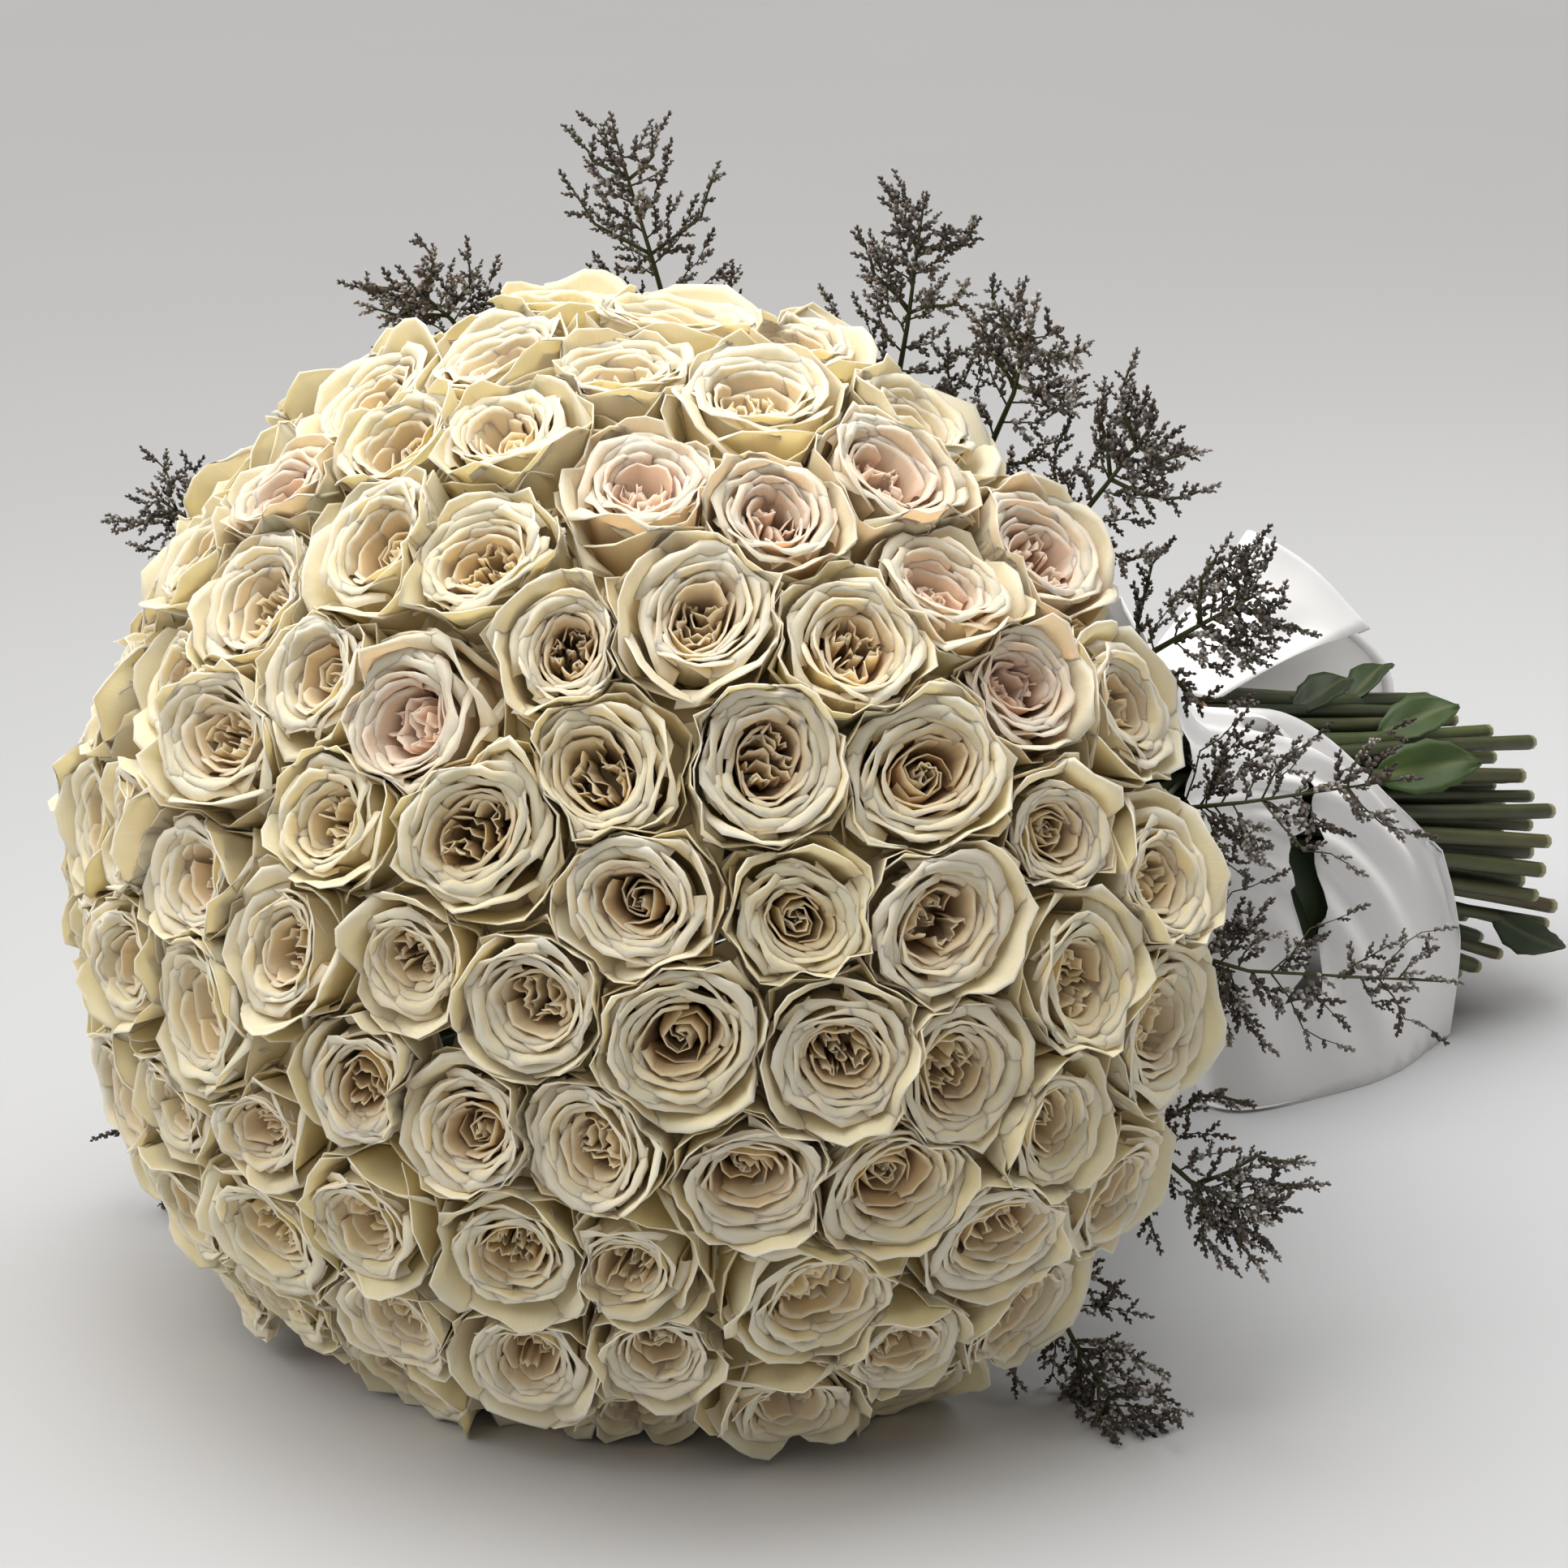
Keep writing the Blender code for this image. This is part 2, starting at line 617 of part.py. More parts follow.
def build_spray(number, angle, reach, lean, rng, material):
    path, sideways, out, inwards = spray_path(angle, reach, lean)
    radii = [SPRAY_STEM] * (len(path) - 2) + [FLORET_RADIUS * 0.6, SPRAY_STEM * 0.4]
    meshes = [path_bar(path, radii, 3, inwards)]
    before, low, high = path[-3:]
    for k in range(TWIG_PAIRS):
        share = (k + 0.4) / TWIG_PAIRS
        if share < 0.4:
            start, along = before + (low - before) * share / 0.4, unit(low - before)
        else:
            start, along = low + (high - low) * (share - 0.4) / 0.6, unit(high - low)
        length = TWIG_LENGTH * (1.1 - 0.55 * share)
        meshes.append(twig_pair(start, along, sideways, out, length, rng))
    return fused(f"sea_lavender_{number:02d}", meshes, material)


def wrap_column(angle, rim, fold):
    """A fold of the wrap from the bundle to its rim: along the bundle first, then out or down to the surface."""
    t = math.radians(angle)
    x, z, along = bundle_axes()
    away = x * math.cos(t) + z * math.sin(t)
    root = at_tie(WRAP_START, WRAP_NECK * math.cos(t), WRAP_NECK * math.sin(t))
    rim = np.array(rim)
    turn = root + along * 0.45 * max(0.0, (rim - root) @ along) + away * WRAP_FLARE
    column = []
    for share in WRAP_ROWS:
        point = root * (1 - share)**2 + turn * 2 * share * (1 - share) + rim * share**2
        column.append(point + away * fold * WRAP_FOLD * math.sin(math.pi * min(1.0, share * 1.3)))
    return column


def wrap_grid():
    """The middle of the wrap: a column for each fold and one for the valley between it and the next."""
    columns = []
    for this, following in zip(WRAP_RIM, WRAP_RIM[1:] + WRAP_RIM[:1]):
        columns.append(wrap_column(this[0], this[1:], 1))
        if this is not WRAP_RIM[-1]:
            between = [(a + b) / 2 for a, b in zip(this, following)]
            columns.append(wrap_column(between[0], between[1:], -1))
    return np.array(columns)


def build_wrap(material):
    """The sheer wrap: gathered at the tie, spread back round the stems and down to the surface.

    It is open along the top near side, and slit lower down.
    """
    grid = wrap_grid()
    lying = grid[..., 2] < WRAP_THICK / 2
    grid[..., 2] = np.maximum(grid[..., 2], WRAP_THICK / 2)
    normals = np.cross(np.gradient(grid, axis=0), np.gradient(grid, axis=1))
    normals /= np.linalg.norm(normals, axis=2)[..., None]
    mesh = Mesh()
    layers = []
    for way in (1, -1):
        layer = grid + normals * way * WRAP_THICK / 2
        layer[..., 2] = np.where(lying & (normals[..., 2] * way < 0), 0.0, np.maximum(layer[..., 2], 0.0))
        layers.append(np.array(mesh.ring(layer.reshape(-1, 3))).reshape(lying.shape))
    outer, inner = layers
    cells = [(i, j) for i in range(len(outer) - 1) for j in range(len(WRAP_ROWS) - 1)
             if j == 0 or i != 2 * WRAP_SLIT]
    edges = set()
    for i, j in cells:
        a, b, c, d = (i, j), (i + 1, j), (i + 1, j + 1), (i, j + 1)
        mesh.faces += [(outer[a], outer[b], outer[c]), (outer[a], outer[c], outer[d])]
        mesh.faces += [(inner[a], inner[c], inner[b]), (inner[a], inner[d], inner[c])]
        edges |= {(a, b), (b, c), (c, d), (d, a)}
    for a, b in sorted(edges):
        if (b, a) not in edges:
            mesh.faces += [(outer[b], outer[a], inner[a]), (outer[b], inner[a], inner[b])]
    return fused("sheer_wrap", [mesh], material)


def build_roses(plan, blush, bunches, rng, materials):
    _, points, normals, distance, spacing = plan
    counts = {"cream": 0, "blush": 0}
    for bunch, links in bunches:
        colour = "blush" if bunch[0] in blush else "cream"
        counts[colour] += 1
        meshes = [rose_mesh(i, points, normals, distance, spacing, links, rng) for i in bunch]
        fused(f"roses_{colour}_{counts[colour]:02d}", meshes, materials[colour])


def main():
    for obj in list(bpy.data.objects):
        bpy.data.objects.remove(obj)
    rng = np.random.default_rng(11)
    materials = {
        "cream": principled("petal_cream", (0.84, 0.78, 0.60), 0.6),
        "blush": principled("petal_blush", (0.86, 0.68, 0.56), 0.6),
        "stem": principled("stem_green", (0.08, 0.12, 0.03), 0.5),
        "twine": principled("twine_brown", (0.35, 0.26, 0.15), 0.9),
        "spray": principled("sea_lavender_grey", (0.10, 0.08, 0.09), 0.8),
        "wrap": principled("wrap_white", (0.82, 0.82, 0.82), 0.5, 0.75),
    }
    plan = plan_roses(rng)
    blush = pick_blush(plan[0])
    bunches = bunch_roses(plan[1], plan[3], blush)
    build_roses(plan, blush, bunches, rng, materials)
    build_stems(plan, rng, materials["stem"])
    build_twine(materials["twine"])
    for number, (angle, reach, lean) in enumerate(SPRAYS, 1):
        build_spray(number, angle, reach, lean, rng, materials["spray"])
    build_wrap(materials["wrap"])
    for obj in bpy.data.objects:
        obj.data.transform(Matrix.Translation(SHIFT))


main()
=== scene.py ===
import math

import bpy
import numpy as np
from mathutils import Matrix


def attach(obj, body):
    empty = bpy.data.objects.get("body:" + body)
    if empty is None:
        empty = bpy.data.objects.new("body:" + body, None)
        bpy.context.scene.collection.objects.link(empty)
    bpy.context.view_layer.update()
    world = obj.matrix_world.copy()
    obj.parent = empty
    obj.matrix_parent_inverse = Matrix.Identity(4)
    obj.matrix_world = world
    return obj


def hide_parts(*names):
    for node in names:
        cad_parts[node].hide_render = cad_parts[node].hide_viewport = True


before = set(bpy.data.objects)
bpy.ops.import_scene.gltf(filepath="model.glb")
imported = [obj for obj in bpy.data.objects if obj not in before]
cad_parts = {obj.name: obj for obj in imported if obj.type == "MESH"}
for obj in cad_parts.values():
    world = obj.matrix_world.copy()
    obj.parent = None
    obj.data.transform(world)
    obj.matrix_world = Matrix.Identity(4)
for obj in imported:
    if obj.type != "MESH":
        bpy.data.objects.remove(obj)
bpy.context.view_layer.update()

# A bouquet of garden roses lying on a pale floor, in metres, +Z up, stems towards +Y.
# Roses, stems and sprays are planned just as the frame's own are, so each fine piece lies where its node does.

bpy.ops.object.select_all(action="DESELECT")
print("frame loaded:", len(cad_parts), "nodes")


def unit(v):
    v = np.asarray(v, float)
    return v / np.linalg.norm(v)


def unitRows(rows):
    return rows / np.linalg.norm(rows, axis=1)[:, None]


def toLinear(hexColour):
    values = [int(hexColour[k:k + 2], 16) / 255 for k in (1, 3, 5)]
    return np.array([v / 12.92 if v <= 0.04045 else ((v + 0.055) / 1.055) ** 2.4 for v in values])


def linearTones(table):
    return {name: toLinear(hexColour) for name, hexColour in table.items()}


def mixed(first, second, share):
    return first + (second - first) * share


def addNode(tree, kind, settings=None, links=None):
    node = tree.nodes.new(kind)
    for name, value in (settings or {}).items():
        if name in node.inputs:
            node.inputs[name].default_value = value
        else:
            setattr(node, name, value)
    for name, (source, output) in (links or {}).items():
        tree.links.new(source.outputs[output], node.inputs[name])
    return node


def newMaterial(name, settings):
    material = bpy.data.materials.new(name)
    material.use_nodes = True
    tree = material.node_tree
    shader = tree.nodes["Principled BSDF"]
    for socket, value in settings.items():
        shader.inputs[socket].default_value = value
    return material, tree, shader


# Petals, leaves and sprays carry their colour as an attribute, so one piece can hold many tones
def colourFrom(tree, shader, attribute, grain, size):
    tone = addNode(tree, "ShaderNodeAttribute", {"attribute_name": attribute})
    place = addNode(tree, "ShaderNodeTexCoord")
    noise = addNode(tree, "ShaderNodeTexNoise", {"Scale": 1 / size, "Detail": 3.0}, {"Vector": (place, "Object")})
    strength = addNode(tree, "ShaderNodeMapRange", {"To Min": 1 - grain, "To Max": 1 + grain},
                       {"Value": (noise, "Fac")})
    shade = addNode(tree, "ShaderNodeVectorMath", {"operation": "SCALE"},
                    {"Vector": (tone, "Color"), "Scale": (strength, "Result")})
    tree.links.new(shade.outputs["Vector"], shader.inputs["Base Color"])
    return noise


def twoTones(tree, shader, source, hexColours):
    tone = addNode(tree, "ShaderNodeMix", {"data_type": "RGBA"}, {"Factor": (source, "Fac")})
    for socket, hexColour in zip("AB", hexColours):
        tone.inputs[socket].default_value = (*toLinear(hexColour), 1)
    tree.links.new(tone.outputs["Result"], shader.inputs["Base Color"])


def bumpFrom(tree, shader, source, output, strength, height):
    bump = addNode(tree, "ShaderNodeBump", {"Strength": strength, "Distance": height}, {"Height": (source, output)})
    tree.links.new(bump.outputs["Normal"], shader.inputs["Normal"])


# Rose petals, fresh: soft and matt, with a faint velvet and a little light passing under the skin
petalLook = {"grain": 0.03, "grainSize": 0.004, "veinHeight": 0.0009, "veinBump": 0.20,
             "veinStretch": (34.0, 2.2, 1.0)}
petalSkin = {}
for colour, glow in (("cream", (1.0, 0.80, 0.50)), ("blush", (1.0, 0.62, 0.48))):
    petalSkin[colour], tree, shader = newMaterial(f"rose_petal_{colour}_fresh", {
        "Roughness": 0.60, "Specular IOR Level": 0.28, "Subsurface Weight": 0.60, "Subsurface Scale": 0.004,
        "Subsurface Radius": glow, "Sheen Weight": 0.08, "Sheen Roughness": 0.5})
    colourFrom(tree, shader, "petalTone", petalLook["grain"], petalLook["grainSize"])
    # Veins run up the petal on its own map; real ones are 0.3 mm apart, these are coarser, so that they show
    place = addNode(tree, "ShaderNodeUVMap", {"uv_map": "petalMap"})
    along = addNode(tree, "ShaderNodeMapping", {"Scale": petalLook["veinStretch"]}, {"Vector": (place, "UV")})
    veins = addNode(tree, "ShaderNodeTexNoise", {"Scale": 1.0, "Detail": 2.0}, {"Vector": (along, "Vector")})
    bumpFrom(tree, shader, veins, "Fac", petalLook["veinBump"], petalLook["veinHeight"])

# Cut stems and leaves: waxy green skin, woody brown lower down
stemSkin, tree, shader = newMaterial("rose_stem_and_leaf_waxy", {"Roughness": 0.48, "Specular IOR Level": 0.4})
noise = colourFrom(tree, shader, "stemTone", 0.30, 0.012)
bumpFrom(tree, shader, noise, "Fac", 0.25, 0.0006)

# Dried sea lavender: papery florets on wiry stems, dull all over
sprayPaper, tree, shader = newMaterial("sea_lavender_papery_dry", {"Roughness": 0.85, "Specular IOR Level": 0.2})
colourFrom(tree, shader, "sprayTone", 0.12, 0.003)

# Organza: a sheer woven nylon, see-through with a soft sheen; threads drawn at 0.8 mm so that they show
organza, tree, shader = newMaterial("wrap_organza_woven", {
    "Base Color": (*toLinear("#FAF9F9"), 1), "Roughness": 0.7, "Alpha": 0.93, "Sheen Weight": 0.15,
    "Sheen Roughness": 0.4, "Specular IOR Level": 0.15, "Subsurface Weight": 0.25, "Subsurface Scale": 0.004,
    "Subsurface Radius": (1.0, 1.0, 1.0)})
place = addNode(tree, "ShaderNodeUVMap", {"uv_map": "weaveMap"})
threads = addNode(tree, "ShaderNodeTexWave", {"Scale": 300.0, "Distortion": 0.6, "Detail": 1.0},
                  {"Vector": (place, "UV")})
bumpFrom(tree, shader, threads, "Fac", 0.08, 0.0004)

# Jute twine: hairy two-ply cord, its twist drawn every 4 mm
jute, tree, shader = newMaterial("binding_twine_jute", {"Roughness": 0.9})
place = addNode(tree, "ShaderNodeTexCoord")
twist = addNode(tree, "ShaderNodeTexWave", {"Scale": 80.0, "Distortion": 2.0, "bands_direction": "DIAGONAL"},
                {"Vector": (place, "Object")})
twoTones(tree, shader, twist, ("#6E5636", "#A98C5E"))
bumpFrom(tree, shader, twist, "Fac", 0.5, 0.0006)
print("materials made")


# The dome of roses: where each bloom sits and looks. Change it only with the frame, which has the same values
bouquet = {"seed": 11, "roses": 104, "centre": (-0.020, 0.0, 0.183), "radius": 0.238, "depth": 0.204, "edge": 79.0,
           "turn": 20.0, "tilt": 12.0, "lowestOut": 0.022, "lowestDown": 0.0035, "pressedOver": 0.018,
           "spreadRounds": 160, "spreadReach": 1.5, "spreadPush": 0.06, "goldenAngle": 2.399963, "unevenTurn": 0.25,
           "neighbours": 7, "roomBetween": 1.2, "drawsPerRose": 71, "shift": (0.0135, -0.2027, 0.0)}
rose = {"spacing": 0.055, "depth": 0.042, "uneven": 0.0025, "lean": 0.09, "gap": 0.0003, "mostInBunch": 3,
        "petalThick": 0.00045, "clearOfFloor": 0.0006}
# Blush roses are those nearest to these places, in parts of the dome's radius to the right and up
blushNear = ((0.51, 0.76), (0.41, 0.69), (0.65, 0.62), (0.72, 0.67), (0.78, 0.47), (0.19, 0.71),
             (-0.04, 0.36), (-0.46, 0.65), (-0.30, -0.85))
turn, tilt = math.radians(bouquet["turn"]), math.radians(bouquet["tilt"])
domeOut = np.array([math.sin(turn) * math.cos(tilt), -math.cos(turn) * math.cos(tilt), math.sin(tilt)])
domeAcross = unit(np.cross(domeOut, (0, 0, 1)))
domeUp = np.cross(domeAcross, domeOut)
axes = np.stack([domeAcross, domeUp, domeOut], axis=1)
centre = np.array(bouquet["centre"])
sizes = np.array([bouquet["radius"], bouquet["radius"], bouquet["depth"]])
shift = np.array(bouquet["shift"])


def onDome(directions):
    points = centre + (directions * sizes) @ axes.T
    facing = (directions / sizes) @ axes.T
    level = np.sqrt(1 - facing[:, 2]**2 / (facing**2).sum(axis=1))
    lowest = bouquet["lowestDown"] + (bouquet["lowestOut"] - bouquet["lowestDown"]) * level
    over = bouquet["pressedOver"]
    z = points[:, 2]
    points[:, 2] = np.where(z < lowest + over, lowest + over * np.exp((z - lowest - over) / over), z)
    return points


def pushApart(points, reach, power):
    # the sum of the pushes on each point from all those nearer than reach
    apart = points[:, None] - points[None]
    distance = np.linalg.norm(apart, axis=2) + 1e-9
    push = np.clip(1 - distance / reach, 0, 1) ** power
    np.fill_diagonal(push, 0)
    return (apart / distance[..., None] * push[..., None]).sum(axis=1)


def spreadRoses(rng):
    count, edge = bouquet["roses"], math.radians(bouquet["edge"])
    order = np.arange(count) + 0.5
    height = 1 - (1 - math.cos(edge)) * order / count
    turns = order * bouquet["goldenAngle"] + rng.uniform(-bouquet["unevenTurn"], bouquet["unevenTurn"], count)
    side = np.sqrt(1 - height**2)
    directions = np.stack([side * np.cos(turns), side * np.sin(turns), height], axis=1)
    reach = rose["spacing"] * bouquet["spreadReach"]
    for _ in range(bouquet["spreadRounds"]):
        force = pushApart(onDome(directions), reach, 2)
        directions = unitRows(directions + bouquet["spreadPush"] * force @ axes)
        over = directions[:, 2] < math.cos(edge)
        flat = unitRows(directions[over, :2])
        directions[over] = np.column_stack([flat * math.sin(edge), np.full(over.sum(), math.cos(edge))])
    return directions


rng = np.random.default_rng(bouquet["seed"])
directions = spreadRoses(rng)
faces = onDome(directions)
normals = (directions / sizes) @ axes.T
normals += rng.normal(0, rose["lean"], normals.shape) * np.linalg.norm(normals, axis=1)[:, None]
normals = unitRows(normals)
faces += normals * rng.uniform(-rose["uneven"], rose["uneven"], (bouquet["roses"], 1))
distance = np.linalg.norm(faces[:, None] - faces[None], axis=2)
# the room that a rose has is the mean to its five nearest
spacing = np.sort(distance, axis=1)[:, 1:6].mean(axis=1)

blush = set()
for across, up in blushNear:
    target = np.array([-across, up, math.sqrt(max(0.0, 1 - across**2 - up**2))])
    near = np.argsort(((directions - target) ** 2).sum(axis=1))
    blush.add(int(next(i for i in near if int(i) not in blush)))


def sideBySide(i, j):
    others = np.linalg.norm(faces - (faces[i] + faces[j]) / 2, axis=1)
    others[[i, j]] = np.inf
    return others.min() > bouquet["roomBetween"] * distance[i, j] / 2


def bunchRoses():
    free = set(range(bouquet["roses"]))
    near = [[int(j) for j in np.argsort(distance[i])[1:bouquet["neighbours"] + 1] if sideBySide(i, j)] for i in free]
    openTo = lambda i: [j for j in near[i] if j in free and (j in blush) == (i in blush)]
    bunches = []
    while free:
        first = min(free, key=lambda i: (len(openTo(i)), i))
        free.remove(first)
        bunch = [first]
        while len(bunch) < rose["mostInBunch"]:
            pairs = [(distance[i, j], i, j) for i in bunch for j in openTo(i)]
            if not pairs:
                break
            j = min(pairs)[2]
            free.remove(j)
            bunch.append(j)
        bunches.append(sorted(bunch))
    return sorted(bunches)


bunches = bunchRoses()
# The frame's roses take so many draws each, so the stems and sprays below start from the same ones
roseTurns = {i: rng.random(bouquet["drawsPerRose"])[0] * math.tau for bunch in bunches for i in bunch}
stemDraws = rng.random(bouquet["roses"])
print("planned:", bouquet["roses"], "roses in", len(bunches), "bunches")


def addObject(name, data):
    obj = bpy.data.objects.new(name, data)
    bpy.context.scene.collection.objects.link(obj)
    return obj


# Closed thin blanks: a grid given its thickness, which each petal or leaf bends to its own shape
def makeBlank(name, columns, rows):
    bpy.ops.mesh.primitive_grid_add(x_subdivisions=columns - 1, y_subdivisions=rows - 1, size=2)
    obj = bpy.context.object
    wall = obj.modifiers.new("wall", "SOLIDIFY")
    wall.thickness, wall.offset = 0.1, 0
    bpy.ops.object.modifier_apply(modifier="wall")
    mesh = obj.data
    flat = np.empty(len(mesh.vertices) * 3)
    mesh.vertices.foreach_get("co", flat)
    flat = flat.reshape(-1, 3)
    quads = np.array([tuple(p.vertices) for p in mesh.polygons])
    column = np.rint((flat[:, 0] + 1) / 2 * (columns - 1)).astype(int)
    row = np.rint((flat[:, 1] + 1) / 2 * (rows - 1)).astype(int)
    bpy.data.objects.remove(obj)
    bpy.data.meshes.remove(mesh)
    return {"name": name, "columns": columns, "rows": rows, "index": row * columns + column,
            "side": np.sign(flat[:, 2]), "quads": quads}


def thicken(blank, grid, thick):
    # grid is rows by columns of points; both faces stand off it by half the thickness
    across, along = np.gradient(grid, axis=1), np.gradient(grid, axis=0)
    out = np.cross(across, along)
    out /= np.linalg.norm(out, axis=2)[..., None] + 1e-12
    flat, out = grid.reshape(-1, 3), out.reshape(-1, 3)
    return flat[blank["index"]] + out[blank["index"]] * (blank["side"] * thick / 2)[:, None]


def buildPiece(name, parts, material, node, tone, mapName=None):
    # parts holds (points, faces, tones, map) of closed meshes, which become one piece in its node's place
    mesh = bpy.data.meshes.new(name)
    starts = np.cumsum([0] + [len(p[0]) for p in parts])
    mesh.vertices.add(int(starts[-1]))
    mesh.vertices.foreach_set("co", (np.concatenate([p[0] for p in parts]) + shift).ravel())
    corners = np.concatenate([(p[1] + starts[k]).ravel() for k, p in enumerate(parts)])
    sides = np.concatenate([np.full(len(p[1]), p[1].shape[1]) for p in parts])
    mesh.loops.add(len(corners))
    mesh.loops.foreach_set("vertex_index", corners)
    mesh.polygons.add(len(sides))
    mesh.polygons.foreach_set("loop_start", np.concatenate([[0], np.cumsum(sides)[:-1]]))
    mesh.polygons.foreach_set("loop_total", sides)
    mesh.polygons.foreach_set("use_smooth", np.ones(len(sides), bool))
    tones = np.concatenate([p[2] for p in parts])
    layer = mesh.attributes.new(tone, "FLOAT_COLOR", "POINT")
    layer.data.foreach_set("color", np.column_stack([tones, np.ones(len(tones))]).ravel())
    if mapName:
        places = np.concatenate([p[3] for p in parts])
        mesh.uv_layers.new(name=mapName).data.foreach_set("uv", places[corners].ravel())
    mesh.update()
    mesh.validate()
    mesh.materials.append(material)
    piece = addObject(name, mesh)
    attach(piece, "root")
    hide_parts(node)


# One garden rose. Each layer's curve runs from base to rim as (out, up), in parts of the rose's spacing and depth;
# then the rim rolls over outwards. Level and reach say how much its petals differ, reflex how far their sides curl,
# corner and tip how the rim falls at its sides and rises in the middle. The last row is the calyx's sepals
# The darker tones at the bases of the inner petals and of the heart's folds are partly the rose's own warmer colour
# and partly painted shade for the hollow deep inside the bloom
petalTones = linearTones({
    "rim": "#FCF1D8", "light": "#F9E8C4", "mid": "#F5DFB2", "deep": "#E4BF88", "guard": "#F8E4BA", "green": "#F0DFB0",
    "heart": "#EACDA6", "heartDeep": "#BE925E", "peach": "#F4D4B2", "blush": "#F9DACB", "blushDeep": "#E5B097",
    "calyx": "#5E7038", "calyxTip": "#7C8C50"})
layerKeys = ("petals", "width", "curve", "roll", "rollTurn", "reflex", "corner", "ruffle", "level", "reach", "tip",
             "blank", "tones")
layerRows = (
    (5, 0.145, ((0.09, -0.96), (0.52, -0.92), (0.53, -0.46), (0.602, -0.20)),
     0.070, 1.5, 1.1, 0.20, 0.022, 0.14, 0.06, 0.17, "guard", ("green", "guard", "light")),
    (5, 0.140, ((0.09, -0.95), (0.47, -0.90), (0.44, -0.32), (0.512, -0.05)),
     0.062, 1.8, 1.0, 0.19, 0.018, 0.09, 0.035, 0.15, "guard", ("green", "guard", "rim")),
    (5, 0.150, ((0.10, -0.93), (0.41, -0.88), (0.365, -0.30), (0.386, -0.01)),
     0.056, 2.0, 0.4, 0.10, 0.012, 0.045, 0.016, 0.02, "cup", ("mid", "light", "rim")),
    (5, 0.145, ((0.10, -0.88), (0.35, -0.84), (0.318, -0.30), (0.338, 0.00)),
     0.050, 1.9, 0.3, 0.08, 0.012, 0.04, 0.014, 0.01, "cup", ("deep", "mid", "rim")),
    (4, 0.175, ((0.16, -0.72), (0.28, -0.66), (0.280, -0.32), (0.296, -0.02)),
     0.040, 1.8, 0.3, 0.08, 0.012, 0.04, 0.014, 0.01, "inner", ("deep", "mid", "rim")),
    (4, 0.165, ((0.14, -0.68), (0.24, -0.62), (0.242, -0.32), (0.256, -0.06)),
     0.033, 1.7, 0.3, 0.07, 0.012, 0.045, 0.016, 0.0, "inner", ("heartDeep", "heart", "rim")),
    (3, 0.200, ((0.13, -0.66), (0.20, -0.60), (0.202, -0.36), (0.216, -0.11)),
     0.026, 1.5, 0.3, 0.07, 0.014, 0.05, 0.016, 0.0, "inner", ("heartDeep", "heart", "light")),
    (5, 0.055, ((0.08, -0.99), (0.16, -0.98), (0.25, -0.96), (0.36, -0.86)),
     0.0, 0.0, 0.0, 0.0, 0.01, 0.0, 0.0, 0.05, "sepal", ("calyx", "calyx", "calyxTip")))
layers = [dict(zip(layerKeys, row)) for row in layerRows]
innermost, sepals = len(layers) - 2, len(layers) - 1
# Sizes that differ from rose to rose; the heart's are in the same parts as the layers
bloom = {"seed": 5, "bigSeed": 3, "sway": 0.0026, "swayEvery": 0.031, "bias": 0.0038, "bigger": 0.12, "tilt": 0.09,
         "oval": 0.08, "heartOval": 0.10, "heartShift": 0.035, "heartTop": -0.13, "heartBase": -0.66,
         "heartRadius": 0.190, "openest": 1.06, "tightest": 0.86, "closest": 0.92, "farthest": 1.12, "walls": 18,
         "give": 0.14, "leastRoom": 0.001, "layerTurn": 0.3, "petalTurn": 0.14,
         "kinds": ("folds", "folds", "quarters", "wound"), "heartTones": ("heartDeep", "heart", "light")}
# The bowl behind the petals and the calyx under it, turned from (out, up) rings and closed at their top. The bowl's
# corners are looked for at so many fine steps round it
bowl = {"rings": ((0.09, -0.97), (0.50, -0.80), (0.80, -0.46)), "top": -0.80, "sides": 24, "fine": 120,
        "clear": 0.00005, "give": 0.005}
calyx = {"rings": ((0.085, -1.0), (0.14, -0.99), (0.17, -0.93)), "top": -0.88, "sides": 10}
blankSizes = {"guard": (8, 6), "cup": (9, 6), "inner": (9, 5), "fold": (12, 4), "sepal": (3, 4), "leaf": (9, 11)}
blanks = {name: makeBlank(name, *counts) for name, counts in blankSizes.items()}
# How far up its curve, and then round its rolled lip, each row of a petal lies
outerClimb = ((0, 0.6, 1, 1, 1, 1), (0, 0, 0, 0.33, 0.67, 1))
climbs = {"guard": outerClimb, "cup": outerClimb, "inner": ((0, 0.65, 1, 1, 1), (0, 0, 0, 0.5, 1)),
          "sepal": ((0, 0.33, 0.67, 1), (0, 0, 0, 0))}


# A ripple is (which of the petal's random numbers starts it, its half waves across a half petal, its size)
petalForm = {"inOut": ((0, 1.1, 0.6), (1, 2.2, 0.6), (2, 3.9, 0.15)), "lift": 1.7, "bend": 1.3,
             "upDown": ((3, 1.3, 0.6), (4, 2.5, 0.6), (5, 4.1, 0.15)), "curlWave": (9, 1.7, 0.25),
             "leastCurl": 0.6, "curlRange": 0.8, "skew": 0.02, "rollHeight": 1.1, "baseWidth": 0.42, "widens": 1.15}
foldForm = {"rows": (0, 0.5, 0.88, 1.0), "lip": 0.014, "waves": (0.022, 0.014), "tops": (0.04, 0.02)}
# The three kinds of heart: petals side by side, looped in three quarters, or wound up. Loops are (radius, distance
# from the middle), the eye in the middle is (radius, half its turn), all in parts of the rose's spacing
folded = {"petals": 6, "apart": 2.7, "bow": 0.45, "wave": 0.042, "rates": (2.2, 4.4), "uneven": 0.006,
          "shortest": 0.85}
quartered = {"loops": ((0.112, 0.118), (0.062, 0.112)), "span": (1.9, 2.5), "turn": 0.3, "wave": 0.12,
             "eye": (0.045, 2.4)}
woundUp = {"turns": (1.0, 1.35), "narrows": 0.80, "wave": 0.08, "eye": (0.035, 2.6)}
third, anyStart = 2.094, 6.3


def ripple(u, rate, start):
    return np.sin(math.pi * rate * u + start)


